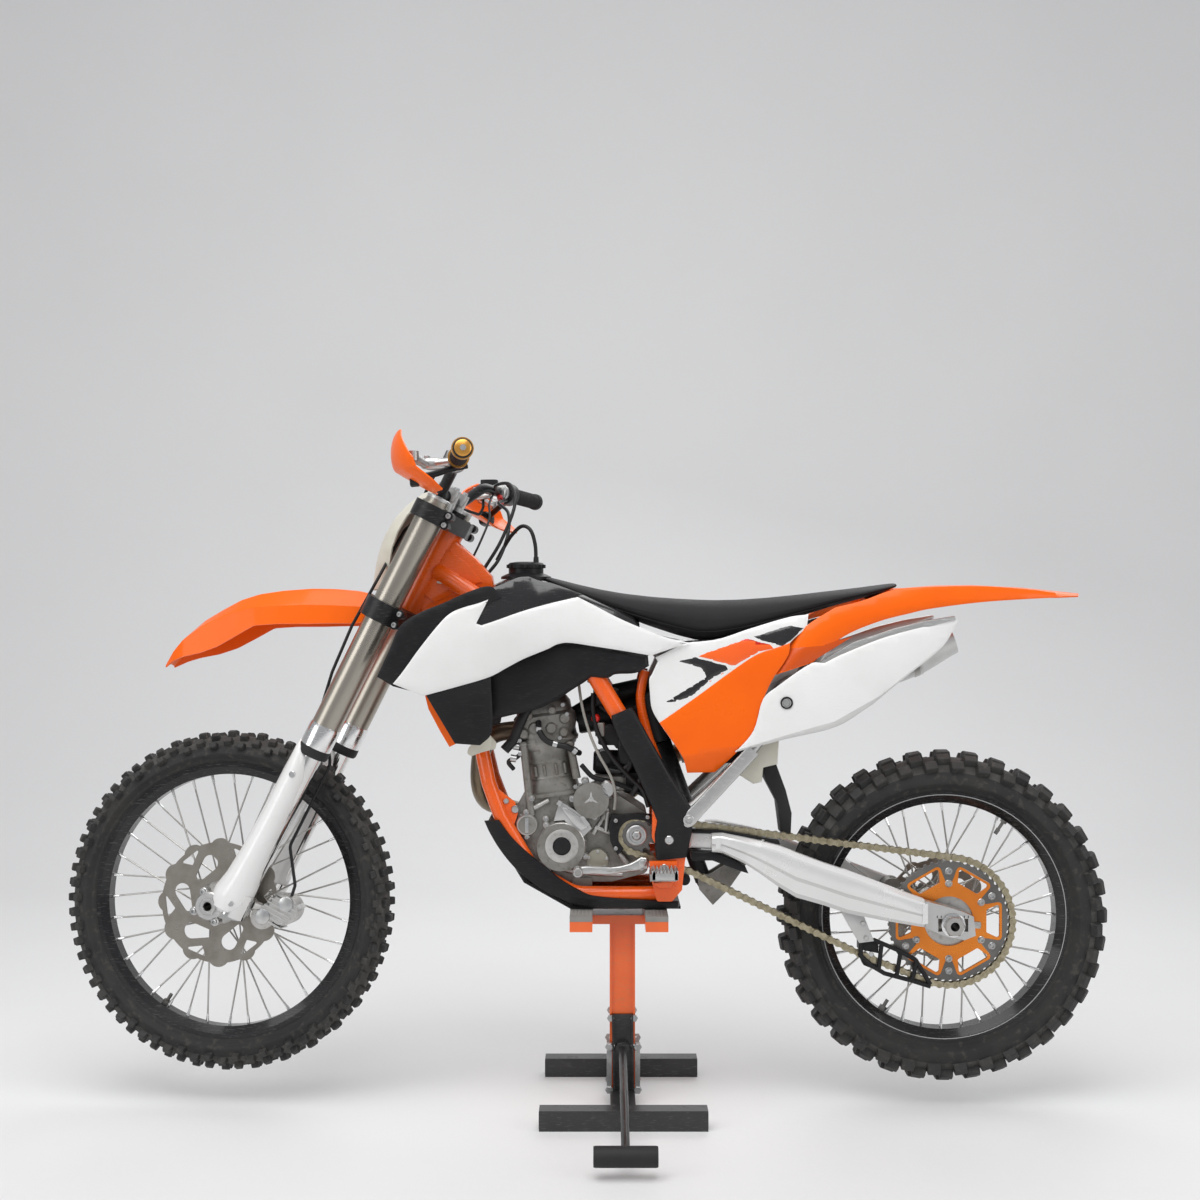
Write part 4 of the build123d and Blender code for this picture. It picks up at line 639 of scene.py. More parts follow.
shroudShape = {
    "plan": [(-150, 122), (82, 128), (182, 146), (282, 177), (412, 193), (492, 192)],  # X and distance out
    "ridge": [(-150, 955), (0, 965), (150, 985), (300, 960), (480, 900)],  # X and the height where it stands out most
    "fall": 0.0024, "reach": 100.0,
}


def flank(x, z):
    rise = z - blend(shroudShape["ridge"], x)
    return blend(shroudShape["plan"], x) - shroudShape["fall"] * rise**2 / (1 + (rise / shroudShape["reach"]) ** 2)


shroudWhite = [(451, 871), (432, 894), (396, 944), (356, 994), (338, 1010), (318, 1019), (284, 1029), (266, 1036),
               (289, 989), (279, 985), (255, 993), (199, 1013), (146, 1028), (90, 1041), (61, 1026), (-4, 993),
               (-85, 961), (-132, 950), (-56, 924), (-4, 933), (66, 944), (110, 950), (131, 947), (149, 938),
               (198, 918), (230, 901), (262, 884), (318, 867), (392, 847)]
louvreBlack = [(482, 885), (457, 940), (437, 985), (400, 1010), (350, 1031), (303, 1052), (262, 1062), (240, 1040),
               (262, 1030), (300, 1000), (380, 900), (262, 884), (258, 800), (262, 768), (283, 748), (332, 752),
               (388, 849), (451, 866)]
shroudMesh, louvreMesh = bmesh.new(), bmesh.new()
addPanel(shroudMesh, shroudWhite, flank, sharp={0, 7, 8, 9, 13, 17, 18, 28}, sides=(1, -1), roll=(7.0, 2.2))
addPanel(louvreMesh, louvreBlack, lambda x, z: flank(x, z) - 4.2 + 3.0 * min(1.0, max(0.0, (850 - z) / 40)), sharp={0, 7, 10, 11, 12, 14, 15, 16, 17},
         sides=(1, -1), roll=(5.0, 1.4))
shroudPiece = pushMesh("shroudShells", shroudMesh, "whitePlastic", "chassis", 28)
louvrePiece = pushMesh("shroudFronts", louvreMesh, "blackPlastic", "chassis", 28)
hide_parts("shrouds")
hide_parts("shroud_louvres")

sideShape = {"out": 119.0, "top": 900.0, "fall": 0.0011, "crease": ((-223, 890), (-230, 690)), "lowCrease": ((-121, 722), (-223, 742))}


def sidePlate(x, z):
    # white part above, and two folds in the orange part below
    out = sideShape["out"] - sideShape["fall"] * max(0.0, z - sideShape["top"]) ** 2
    out -= 0.045 * max(0.0, x + 226)
    low = 742 + (x + 223) * -0.2
    return out - 0.42 * max(0.0, low - z) - 0.0009 * max(0.0, x + 120) ** 2 * 1.6


sidePanel = [(-65, 920), (-129, 949), (-156, 952), (-192, 957), (-252, 977), (-334, 1001), (-372, 1006), (-366, 980),
             (-334, 949), (-330, 925), (-296, 872), (-273, 817), (-262, 775), (-226, 729), (-185, 689), (-129, 688),
             (-119, 721), (-73, 789), (-58, 817), (-54, 850), (-53, 876), (-58, 886), (-70, 912)]
orangeCover = [(-73, 789), (-145, 840), (-231, 903), (-271, 928), (-304, 939), (-334, 949), (-330, 925), (-296, 872),
               (-273, 817), (-262, 775), (-226, 729), (-185, 689), (-129, 688), (-119, 721)]
decals = {  # shape, finish, sharp corners all round
    "arrowBlack": ([(-107, 913), (-144, 922), (-220, 901), (-176, 876), (-139, 842), (-106, 831), (-79, 828),
                    (-165, 881), (-157, 898)], "glossBlack"),
    "stripeOrange": ([(-145, 923), (-248, 959), (-317, 941), (-271, 930), (-231, 908), (-222, 902)], "decalOrange"),
    "stripeRed": ([(-222, 950), (-248, 959), (-317, 941), (-285, 934)], "decalRed"),
    "topBlack": ([(-253, 960), (-334, 986), (-362, 979), (-331, 950), (-318, 942)], "glossBlack"),
    "thinOrange": ([(-159, 868), (-222, 903), (-226, 902), (-170, 868)], "decalOrange"),
}
finishes["decalOrange"] = surface("decalOrange", dict(tint=(0.92, 0.13, 0.01), patch=(0.88, 0.11, 0.008),
                                                      gloss=(0.14, 0.26), coat=0.5, grain=[(60, 0.00015, even)]))
finishes["decalRed"] = surface("decalRed", dict(tint=(0.86, 0.035, 0.012), patch=(0.80, 0.03, 0.01),
                                                gloss=(0.14, 0.26), coat=0.5, grain=[(60, 0.00015, even)]))
sideFinishes = ["whitePlastic", "orangePlastic", "glossBlack", "decalOrange", "decalRed"]
sideMesh = bmesh.new()
sideFolds = (sideShape["crease"], sideShape["lowCrease"])
addPanel(sideMesh, sidePanel, sidePlate, sharp={0, 6, 14, 15, 22}, sides=(1, -1), creases=sideFolds)
addPanel(sideMesh, orangeCover, sidePlate, sharp={0, 5, 11, 12}, sides=(1, -1), creases=sideFolds, wall=2.4, lift=1.9,
         slot=1, roll=(4.0, 1.2))
for shape, finishName in decals.values():
    addPanel(sideMesh, shape, sidePlate, sharp=set(range(len(shape))), sides=(1, -1), wall=0.9, lift=1.1, spacing=8.0,
             inset=False, slot=sideFinishes.index(finishName))
sidePiece = pushMesh("sidePanelShells", sideMesh, sideFinishes, "chassis", 24)
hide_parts("side_panels")

tailShape = {"out": [(-690, 104), (-560, 118), (-440, 125), (-280, 125)], "fall": 0.0006}


def tailPlate(x, z):
    spine = blend([(-680, 985), (-420, 850), (-230, 755)], x)
    out = blend(tailShape["out"], x) - tailShape["fall"] * (z - spine) ** 2
    low = blend([(-640, 940), (-499, 836), (-422, 793), (-326, 766), (-224, 735)], x)
    return out - 0.75 * max(0.0, low - z)


tailOutline = [(-280, 838), (-306, 861), (-377, 909), (-402, 909), (-438, 927), (-529, 962), (-667, 997), (-672, 992),
               (-641, 942), (-560, 876), (-499, 825), (-430, 782), (-326, 757), (-224, 731), (-260, 774)]
tailMesh = bmesh.new()
addPanel(tailMesh, tailOutline, tailPlate, sharp={3, 6, 7, 10, 13}, roll=(6.0, 2.0),
         creases=(((-224, 735), (-326, 766)), ((-326, 766), (-422, 793)), ((-422, 793), (-499, 836))))
farTail = [(-280, 838), (-306, 861), (-377, 909), (-402, 909), (-438, 927), (-529, 962), (-667, 997), (-600, 945),
           (-480, 893), (-340, 824), (-300, 806)]
addPanel(tailMesh, farTail, tailPlate, sharp={3, 6}, roll=(6.0, 2.0), sides=(-1,))
tailPiece = pushMesh("tailPanelShells", tailMesh, "whitePlastic", "chassis", 24)
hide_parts("tail_panels")

tailScrew = bmesh.new()
screwSpot = Vector((-0.326, (tailPlate(-326, 830) - 1.0) / 1000, 0.830))
addTurned(tailScrew, [(0.0065, 0.0), (0.0125, 0.0), (0.0125, 0.0030), (0.0115, 0.0036), (0.0100, 0.0030), (0.0088, 0.0008)],
          Matrix.Translation(screwSpot) @ Matrix.Rotation(math.radians(-90), 4, "X"), steps=28, slot=0)
addBolt(tailScrew, screwSpot + Vector((0, 0.0004, 0)), (0, 1, 0), 0.0078, 0.0026, sides=16, slot=1, socket=True)
pushMesh("tailPanelScrew", tailScrew, ["blackPlastic", "zincSteel"], "chassis")
print("side plastics made")

# Lofted body parts: tank, seat and fenders

def addLoft(bm, sections, steps=32, slot=0, closed=True):
    # rings of (centre, half across, half up, squareness), joined one to the next and closed at both ends
    rings = []
    for centre, across, up, power in sections:
        ring = bmesh.ops.create_circle(bm, segments=steps, radius=1.0)["verts"]
        for vert in ring:
            turn = math.atan2(vert.co.y, vert.co.x)
            c, s = math.cos(turn), math.sin(turn)
            vert.co = (Vector(centre) + Vector(across) * math.copysign(abs(c) ** (2 / power), c)
                       + Vector(up) * math.copysign(abs(s) ** (2 / power), s))
        rings.append(ring)
    before = set(bm.faces)
    for first, second in zip(rings, rings[1:]):
        edges = {e for v in first for e in v.link_edges if e.other_vert(v) in first}
        edges |= {e for v in second for e in v.link_edges if e.other_vert(v) in second}
        bmesh.ops.bridge_loops(bm, edges=list(edges))
    if closed:
        for ring in (rings[0], rings[-1]):
            bm.faces.new(ring)
    fresh = [f for f in bm.faces if f not in before]
    bmesh.ops.recalc_face_normals(bm, faces=fresh)
    for face in fresh:
        face.material_index = slot
    return [v for ring in rings for v in ring]


def mm(x, y, z):
    return Vector((x, y, z)) / 1000


def addSheet(bm, columns, rows, place, wall=3.0, slot=0):
    # a grid laid out by place(along, across), each from 0 to 1 and -1 to 1, then given its wall
    sheet = bmesh.new()
    bmesh.ops.create_grid(sheet, x_segments=columns, y_segments=rows, size=1.0)
    for vert in sheet.verts:
        vert.co = place((vert.co.x + 1) / 2, vert.co.y)
    bmesh.ops.recalc_face_normals(sheet, faces=sheet.faces)
    if sum(face.normal.z * face.calc_area() for face in sheet.faces) < 0:
        bmesh.ops.reverse_faces(sheet, faces=sheet.faces)
    bmesh.ops.solidify(sheet, geom=sheet.faces[:], thickness=wall / 1000)
    bmesh.ops.recalc_face_normals(sheet, faces=sheet.faces)
    for face in sheet.faces:
        face.material_index = slot
    holder = bpy.data.meshes.new("sheetHolder")
    sheet.to_mesh(holder)
    sheet.free()
    bm.from_mesh(holder)
    bpy.data.meshes.remove(holder)


tankShape = {  # X, bottom, top, half width, squareness
    "rings": [(296, 1008, 1034, 60, 3.0), (280, 990, 1058, 84, 3.2), (250, 962, 1074, 94, 3.4), (215, 925, 1084, 97, 3.6),
              (170, 905, 1080, 97, 3.6), (130, 905, 1066, 95, 3.6), (80, 912, 1052, 94, 3.6), (20, 935, 1028, 92, 3.4),
              (-20, 948, 1008, 90, 3.2), (-34, 956, 990, 84, 3.0)],
    "cap": (199, 1086, 1112, 33),
}
tankMesh = bmesh.new()
addLoft(tankMesh, [(mm(x, 0, (low + high) / 2), mm(0, half, 0), mm(0, 0, (high - low) / 2), power)
                   for x, low, high, half, power in tankShape["rings"]], steps=48)
tankPiece = pushMesh("tankShell", tankMesh, "glossBlack", "chassis", 40)
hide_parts("fuel_tank")


def tankSkin(x, z):
    # the black skin round the recess, between the shroud and the seat
    rise = max(0.0, z - 985)
    return blend([(40, 104), (150, 112), (300, 136)], x) - 0.0052 * rise**2 - 0.02 * rise


recess = bmesh.new()
skinOutline = [(296, 1046), (262, 1058), (241, 1066), (209, 1080), (188, 1082), (168, 1074), (140, 1068), (80, 1046),
               (100, 1040), (146, 1027), (199, 1012), (255, 991), (279, 983), (292, 990), (272, 1030)]
addPanel(recess, skinOutline, lambda x, z: flank(x, z) - 9 - 10 * max(0.0, (z - 1035) / 45) ** 1.5, sharp={0, 4, 7, 12}, sides=(1, -1),
         wall=3.0, roll=(5.0, 1.5))
recessPiece = pushMesh("tankSkin", recess, "glossBlack", "chassis", 32)

capMesh = bmesh.new()
capX, capLow, capHigh, capSize = tankShape["cap"]
capTurn = Matrix.Translation(mm(capX, 0, capLow - 8))
addTurned(capMesh, [(0, 0), (0.052, 0), (0.052, 0.005), (0.042, 0.010), (0.036, 0.012), (0.036, 0.022), (0.038, 0.023),
                    (0.038, 0.030), (0.034, 0.034), (0.020, 0.036), (0.018, 0.032), (0, 0.032)], capTurn, steps=40,
          closed=False)
for count in range(20):
    angle = math.tau * count / 20
    spot = mm(capX + math.cos(angle) * 38, math.sin(angle) * 38, capLow + 18.5)
    addRod(capMesh, spot - mm(0, 0, 3.5), spot + mm(0, 0, 3.5), 0.0026, None, 8)
capPiece = pushMesh("tankCap", capMesh, "blackPlastic", "chassis", 35)


def addTube(bm, points, radius, sides=12, slot=0, cuts=6, ends=True):
    # a tube through smooth points, in metres
    line = []
    for index in range(len(points) - 1):
        first, second = Vector(points[index]), Vector(points[index + 1])
        before = Vector(points[index - 1]) if index else first - (second - first)
        after = Vector(points[index + 2]) if index + 2 < len(points) else second + (second - first)
        for part in range(cuts):
            t = part / cuts
            line.append(0.5 * (2 * first + (second - before) * t + (2 * before - 5 * first + 4 * second - after) * t**2
                               + (3 * first - before - 3 * second + after) * t**3))
    line.append(Vector(points[-1]))
    side = None
    sections = []
    for index, spot in enumerate(line):
        run = (line[min(index + 1, len(line) - 1)] - line[max(index - 1, 0)]).normalized()
        if side is None:
            side = run.orthogonal().normalized()
        side = (side - run * side.dot(run)).normalized()
        sections.append((spot, side * radius, run.cross(side) * radius, 2.0))
    addLoft(bm, sections, sides, slot, ends)


breather = bmesh.new()
addTube(breather, [mm(178, 8, 1112), mm(180, 8, 1150), mm(190, 4, 1180), mm(208, -6, 1188), mm(228, -20, 1172),
                   mm(244, -34, 1150), mm(262, -40, 1118)], 0.0040)
addRod(breather, mm(178, 8, 1104), mm(178, 8, 1124), 0.0062, 0.0052, 12)
pushMesh("tankBreather", breather, "hoseRubber", "chassis", 50)

seatShape = {  # X, middle of the top, lower edge, half width
    "rows": [(164, 1083, 1078, 26), (150, 1081, 1070, 40), (129, 1076, 1058, 50), (90, 1066, 1040, 60), (50, 1057, 1022, 68),
             (0, 1048, 1002, 76), (-60, 1041, 980, 84), (-115, 1037, 962, 89), (-156, 1035, 952, 92), (-192, 1034, 954, 93),
             (-241, 1035, 964, 93), (-300, 1039, 981, 91), (-360, 1045, 1000, 88), (-429, 1053, 1022, 82),
             (-490, 1060, 1038, 76), (-535, 1066, 1052, 68), (-562, 1069, 1062, 54)],
    "crown": 9.0,
}
seatMesh = bmesh.new()
seatRings = []
for x, high, low, half in seatShape["rows"]:
    high += 1.0
    seatRings.append((mm(x, 0, (low + high) / 2), mm(0, half, 0), mm(0, 0, (high - low) / 2), 3.4))
addLoft(seatMesh, seatRings, steps=56)
seatBands = dict((row[0], row) for row in seatShape["rows"])
lowLine = sorted((row[0], row[2]) for row in seatShape["rows"])
highLine = sorted((row[0], row[1]) for row in seatShape["rows"])
halfLine = sorted((row[0], row[3]) for row in seatShape["rows"])
bmesh.ops.subdivide_edges(seatMesh, edges=[e for e in seatMesh.edges if abs(e.verts[0].co.x - e.verts[1].co.x) > 0.001],
                          cuts=2, use_grid_fill=True)
for vert in seatMesh.verts:
    x = vert.co.x * 1000
    low, high, half = blend(lowLine, x), blend(highLine, x), blend(halfLine, x)
    level = (vert.co.z * 1000 - low) / max(high - low, 1.0)
    share = abs(vert.co.y * 1000) / half
    if level > 0.55:
        vert.co.z -= (share**2.2) * seatShape["crown"] * min(1.0, (high - low) / 40) / 1000
    groove = math.exp(-((level - 0.22) / 0.055) ** 2)  # the seam between the top cover and the side strip
    vert.co.y -= math.copysign(0.0026 * groove * (1 if share > 0.8 else 0), vert.co.y)
seatPiece = pushMesh("seatPad", seatMesh, "seatCover", "chassis", 60)
seatSmooth = seatPiece.modifiers.new("seatSmooth", "SUBSURF")
seatSmooth.levels = seatSmooth.render_levels = 1
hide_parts("seat")

seams = bmesh.new()
for side in (1, -1):
    path = []
    for x in range(140, -556, -24):
        low, high, half = blend(lowLine, x), blend(highLine, x), blend(halfLine, x)
        path.append(mm(x, side * (half * 0.985 - 0.8), low + (high - low) * 0.22))
    addTube(seams, path, 0.0011, sides=6, cuts=3)
seamPiece = pushMesh("seatSeams", seams, "seatCover", "chassis", 60)

rearFenderShape = {
    "crest": [(-932, 1049), (-820, 1061), (-720, 1066), (-640, 1065), (-560, 1058), (-500, 1040)],
    "half": [(-932, 42), (-900, 54), (-800, 80), (-700, 92), (-600, 102), (-500, 108)],
    "drop": [(-932, 5), (-880, 13), (-760, 22), (-640, 34), (-560, 40), (-500, 44)],
}
fenderMesh = bmesh.new()


def rearTop(along, across):
    x = -500 - along * 432
    out = blend(rearFenderShape["half"], x)
    drop = blend(rearFenderShape["drop"], x)
    share = abs(across)
    z = blend(rearFenderShape["crest"], x) - drop * (0.10 * min(share, 0.45) / 0.45 + 0.90 * max(0.0, (share - 0.45) / 0.55) ** 1.5)
    return mm(x - 8 * (1 - share**2) * along, out * across, z)


addSheet(fenderMesh, 44, 22, rearTop)
wingPlan = [(-897, 58), (-818, 78), (-718, 92), (-620, 104), (-500, 112), (-380, 117), (-300, 119)]


def rearWing(x, z):
    crest = blend([(-897, 1047), (-716, 1061), (-600, 1058), (-481, 1030), (-425, 1018), (-366, 978), (-310, 888)], x)
    fall = 0.010 * max(0.0, 34 - (crest - z)) ** 2 * 0.6
    return blend(wingPlan, x) - fall - 0.10 * max(0.0, crest - z - 34)


wingOutline = [(-425, 1020), (-481, 1034), (-545, 1056), (-614, 1061), (-716, 1063), (-818, 1057), (-880, 1050),
               (-886, 1040), (-818, 1037), (-716, 1030), (-614, 1017), (-578, 1009), (-512, 992), (-440, 961), (-379, 910),
               (-306, 886), (-335, 942), (-366, 982)]
addPanel(fenderMesh, wingOutline, rearWing, sharp={0, 6, 7, 14, 15}, sides=(1, -1), wall=3.0, lift=3.6)
# a thin darker orange facet laid on each wing's lower flank: painted shade, the shadow that falls in this recessed
# facet
facet = [(-306, 888), (-335, 938), (-400, 946), (-459, 962), (-429, 943), (-378, 912)]
finishes["paintedShadeOrange"] = surface("paintedShadeOrange", dict(tint=(0.62, 0.080, 0.003), patch=(0.56, 0.07, 0.002), shine=0.4,
                                                      gloss=(0.3, 0.42), grain=[(60, 0.0002, even)]))
addPanel(fenderMesh, facet, rearWing, sharp=set(range(6)), sides=(1, -1), wall=1.0, lift=4.8, spacing=9.0, inset=False,
         slot=1)
fenderPiece = pushMesh("rearFenderShell", fenderMesh, ["orangePlastic", "paintedShadeOrange"], "chassis", 30)
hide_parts("rear_fender")

frontFenderShape = [  # X, top, half width, drop of the shoulder facet, drop of the skirt
    (955, 903, 24, 2, 4), (932, 934, 42, 4, 20), (908, 962, 52, 8, 36), (868, 994, 58, 14, 54), (829, 1016, 62, 19, 58),
    (790, 1036, 66, 24, 52), (750, 1048, 68, 28, 38), (700, 1055, 69, 32, 38), (640, 1059, 68, 34, 40), (590, 1058, 64, 34, 38),
    (545, 1054, 56, 32, 36), (522, 1049, 50, 28, 32)]


def frontTop(along, across):
    x = 955 - along * 433
    rows = sorted(frontFenderShape)
    top, half, facet, skirt = (blend([(row[0], row[k]) for row in rows], x) for k in (1, 2, 3, 4))
    share = abs(across)
    inner, outer = 0.42, 0.80
    drop = 2.0 * min(share / inner, 1.0) ** 2
    if share > inner:
        drop += facet * min((share - inner) / (outer - inner), 1.0)
    wide = half * (share / outer * 0.94 if share < outer else 0.94 + 0.06 * (share - outer) / (1 - outer))
    if share > outer:
        drop += skirt * (share - outer) / (1 - outer)
    return mm(x, math.copysign(wide, across), top - drop)


frontFender = bmesh.new()
addSheet(frontFender, 60, 51, frontTop)
bmesh.ops.transform(frontFender, matrix=steerTurn, verts=frontFender.verts)
frontPiece = pushMesh("frontFenderShell", frontFender, "orangePlastic", "steering", 12)
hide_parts("front_fender")
print("body lofts made")

# Engine: covers, bosses, bolts and hoses over the plain CAD castings

def sideTurn(x, y, z, side=1):
    # puts a piece made round Z on the bike's flank, with local Z pointing outward
    return Matrix.Translation(mm(x, y * side, z)) @ Matrix.Rotation(math.radians(-90 * side), 4, "X")


def addPlate(bm, points, low, high, sharp=None, slot=0, bevel=1.2):
    # a flat plate between two distances out, with softened edges
    line = curveLine(points, set(range(len(points))) if sharp is None else sharp)
    plate = bmesh.new()
    face = plate.faces.new([plate.verts.new((spot.x / 1000, low / 1000, spot.y / 1000)) for spot in line])
    made = bmesh.ops.extrude_face_region(plate, geom=[face])
    bmesh.ops.translate(plate, vec=(0, (high - low) / 1000, 0), verts=[v for v in made["geom"] if isinstance(v, bmesh.types.BMVert)])
    bmesh.ops.recalc_face_normals(plate, faces=plate.faces)
    rims = [e for e in plate.edges if len(e.link_faces) == 2 and any(len(f.verts) > 4 for f in e.link_faces)]
    bmesh.ops.bevel(plate, geom=rims, offset=bevel / 1000, segments=2, profile=0.5, affect="EDGES", material=-1,
                    clamp_overlap=True)
    for each in plate.faces:
        each.material_index = slot
    holder = bpy.data.meshes.new("plateHolder")
    plate.to_mesh(holder)
    plate.free()
    bm.from_mesh(holder)
    bpy.data.meshes.remove(holder)


def discProfile(points):
    return [(radius / 1000, along / 1000) for radius, along in points]


engineShape = {
    "ignition": (123, 539), "starter": (64, 633), "filler": (194, 579), "beige": (51, 507), "shaft": (-28, 559.5),
    "caseBolts": [(222, 612), (187, 632), (216, 545), (170, 492), (80, 484), (-20, 487), (10, 655), (96, 655)],
}
engine = bmesh.new()
ix, iz = engineShape["ignition"]
addTurned(engine, discProfile([(0, 0), (50, 0), (50.5, 14), (49.5, 22), (46.5, 28), (41.5, 31), (37.5, 31.5), (36.5, 29.6),
                               (34.5, 29.6), (33.5, 32.8), (29, 34.4), (22, 35), (18.5, 34.8), (18, 32), (0, 32)]),
          sideTurn(ix, 56, iz), steps=64, closed=False)
addTurned(engine, discProfile([(0, 29), (17.4, 29), (17.4, 34.6), (16, 36.4), (11, 37.6), (6, 38.0), (0, 38.0)]),
          sideTurn(ix, 56, iz), steps=40, slot=1, closed=False)
for angle in (52, 128, 206, 300):
    spot = (ix + math.cos(math.radians(angle)) * 52, iz + math.sin(math.radians(angle)) * 52)
    addTurned(engine, discProfile([(0, 0), (7.5, 0), (7, 20), (6, 22), (0, 22)]), sideTurn(spot[0], 56, spot[1]), steps=20,
              closed=False)
    addBolt(engine, mm(spot[0], 78, spot[1]), (0, 1, 0), 0.0042, 0.004, sides=12, slot=2, socket=True)
addPlate(engine, [(129, 627), (117, 624), (76, 598), (62, 574), (80, 556), (72, 545), (96, 560), (118, 590), (140, 588)], 54, 84,
         slot=4, bevel=3)
addPlate(engine, [(124, 617), (112, 615), (80, 594), (70, 577), (84, 570), (100, 583), (116, 604)], 82, 90, slot=4, bevel=2.5)
addPlate(engine, [(66, 583), (80, 600), (86, 597), (73, 578)], 84, 93, slot=4, bevel=1.5)
addPlate(engine, [(122, 628), (129, 632), (134, 624), (126, 618)], 60, 92, slot=4, bevel=1.5)

sx, sz = engineShape["starter"]
addTurned(engine, discProfile([(0, 0), (34, 0), (34, 18), (31.5, 23), (29.5, 24.4), (28.4, 22.6), (26.6, 22.6), (25.6, 24.6),
                               (22, 25.4), (0, 25.8)]), sideTurn(sx, 56, sz), steps=56, slot=4, closed=False)
for angle in (90, 210, 330):
    way = (math.cos(math.radians(angle)), math.sin(math.radians(angle)))
    addRod(engine, mm(sx + way[0] * 3, 81.5, sz + way[1] * 3), mm(sx + way[0] * 17, 81.5, sz + way[1] * 17), 0.0036, 0.0024, 12, 4)
addTurned(engine, discProfile([(0, 0), (6, 0), (5, 3), (0, 4)]), sideTurn(sx, 81, sz), steps=20, slot=4, closed=False)
for x, z in ((102, 632), (57, 596), (34, 666), (76, 668)):
    addTurned(engine, discProfile([(0, 0), (8, 0), (7.4, 14), (6, 16), (0, 16)]), sideTurn(x, 58, z), steps=20, slot=4, closed=False)
    addBolt(engine, mm(x, 74, z), (0, 1, 0), 0.0046, 0.005, sides=12, slot=2, socket=True)
addLoft(engine, [(mm(30, 68, 652), mm(17, 0, 0), mm(0, 0, 20), 2.2), (mm(30, 80, 652), mm(15, 0, 0), mm(0, 0, 18), 2.2),
                 (mm(30, 84, 652), mm(11, 0, 0), mm(0, 0, 14), 2.2)], 28, 4)

fx, fz = engineShape["filler"]
addTurned(engine, discProfile([(0, 0), (22, 0), (22, 16), (20, 19), (17.5, 19.4), (16.5, 17.0), (0, 17.0)]),
          sideTurn(fx, 56, fz), steps=44, closed=False)
addPlate(engine, [(fx - 3.4, fz - 15), (fx + 3.4, fz - 15), (fx + 3.4, fz + 15), (fx - 3.4, fz + 15)], 72, 78, slot=2, bevel=1.5)
for x, z in ((fx + 2, fz + 25), (fx, fz - 24), (fx - 9, fz + 53), (fx - 38, fz + 12)):
    addTurned(engine, discProfile([(0, 0), (7, 0), (6.4, 14), (5, 15.5), (0, 15.5)]), sideTurn(x, 56, z), steps=20, closed=False)
    addBolt(engine, mm(x, 71.5, z), (0, 1, 0), 0.0046, 0.005, sides=12, slot=2, socket=True)
addTurned(engine, discProfile([(0, 0), (8, 0), (8, 8), (6.4, 10), (0, 10.6)]), sideTurn(218, 66, 611), steps=24, slot=2, closed=False)

bx, bz = engineShape["beige"]
addPlate(engine, [(bx + 23 * math.cos(math.radians(a)), bz + 23 * math.sin(math.radians(a))) for a in range(-50, 231, 20)],
         54, 74, slot=3, bevel=2.5)
for angle in (-38, 20, 92, 165, 218):
    addBolt(engine, mm(bx + 19 * math.cos(math.radians(angle)), 73, bz + 19 * math.sin(math.radians(angle))), (0, 1, 0), 0.0034,
            0.003, sides=12, slot=2)
cx, cz = engineShape["shaft"]
addTurned(engine, discProfile([(9, 0), (21, 0), (21, 5), (19, 6.5), (15.5, 6.5), (14.5, 4.5), (10, 4.5)]), sideTurn(cx, 78, cz),
          steps=40, slot=2)
addTurned(engine, discProfile([(0, 0), (9.5, 0), (9.5, 7), (7.5, 8.5), (3, 8.5), (2.6, 5), (0, 5)]), sideTurn(cx, 78, cz),
          steps=6, slot=2, closed=False)
coverLine = [(22, 602), (2, 600), (-34, 603), (-66, 596), (-74, 578), (-62, 582), (-40, 590), (-16, 591), (0, 582), (8, 566),
             (8, 548), (-2, 532), (10, 520), (24, 545), (27, 580)]
addPlate(engine, coverLine, 58, 86, sharp={0, 4, 11, 12}, slot=1, bevel=3)
for x, z in ((14, 590), (14, 534), (-50, 597)):
    addBolt(engine, mm(x, 85.5, z), (0, 1, 0), 0.0042, 0.004, sides=12, slot=2, socket=True)
for x, z in engineShape["caseBolts"]:
    addBolt(engine, mm(x, 56, z), (0, 1, 0), 0.0052, 0.005, sides=6, slot=2)
for x1, z1, x2, z2, y, size in ((60, 560, 40, 590, 60, 6), (40, 590, 30, 612, 62, 7), (56, 574, 20, 560, 60, 6), (30, 606, 34, 566, 68, 5),
                                (180, 612, 150, 628, 60, 6), (206, 600, 214, 560, 58, 6), (170, 500, 90, 480, 56, 7),
                                (70, 480, 0, 476, 56, 6), (-10, 500, 14, 530, 58, 7)):
    addRod(engine, mm(x1, y, z1), mm(x2, y, z2), size / 1000, size * 0.8 / 1000, 14)
enginePiece = pushMesh("engineCovers", engine, ["coverAlloy", "blackPlastic", "zincSteel", "beigeCover", "bareAlloy"],
                       "chassis", 32)

barrelMesh = bmesh.new()
tilt = 0.14
upward = Vector((math.sin(tilt), 0, math.cos(tilt)))
acrossX = Vector((math.cos(tilt), 0, -math.sin(tilt)))
base = mm(140, 0, 640)


def barrelSpot(along, x=0.0, y=0.0):
    return base + upward * (along / 1000) + acrossX * (x / 1000) + Vector((0, y / 1000, 0))


barrelRings = [(-4, 60, 62, 4), (3, 60, 62, 4), (6, 52, 56, 4), (22, 50, 55, 3.4), (30, 48, 53.5, 3.2), (34, 51, 55, 3.2),
               (38, 48, 53.5, 3.2), (62, 48, 53.5, 3.2), (66, 51, 55, 3.2), (70, 48, 53.5, 3.2), (90, 50, 54.5, 3.4), (97, 59, 59, 4),
               (104, 61, 60, 4.5)]
addLoft(barrelMesh, [(barrelSpot(along), acrossX * (half / 1000), Vector((0, deep / 1000, 0)), power)
                     for along, half, deep, power in barrelRings], steps=56)
headRings = [(104, 62, 60, 4.5), (108, 63, 61, 4.5), (118, 58, 58, 3.6), (128, 60, 59, 4), (142, 64, 61, 4.5), (160, 64, 61, 4.5),
             (163, 60, 58, 4.5), (166, 57, 55, 4.2), (182, 56, 54, 4.0), (192, 50, 48, 3.4), (196, 40, 40, 3.0)]
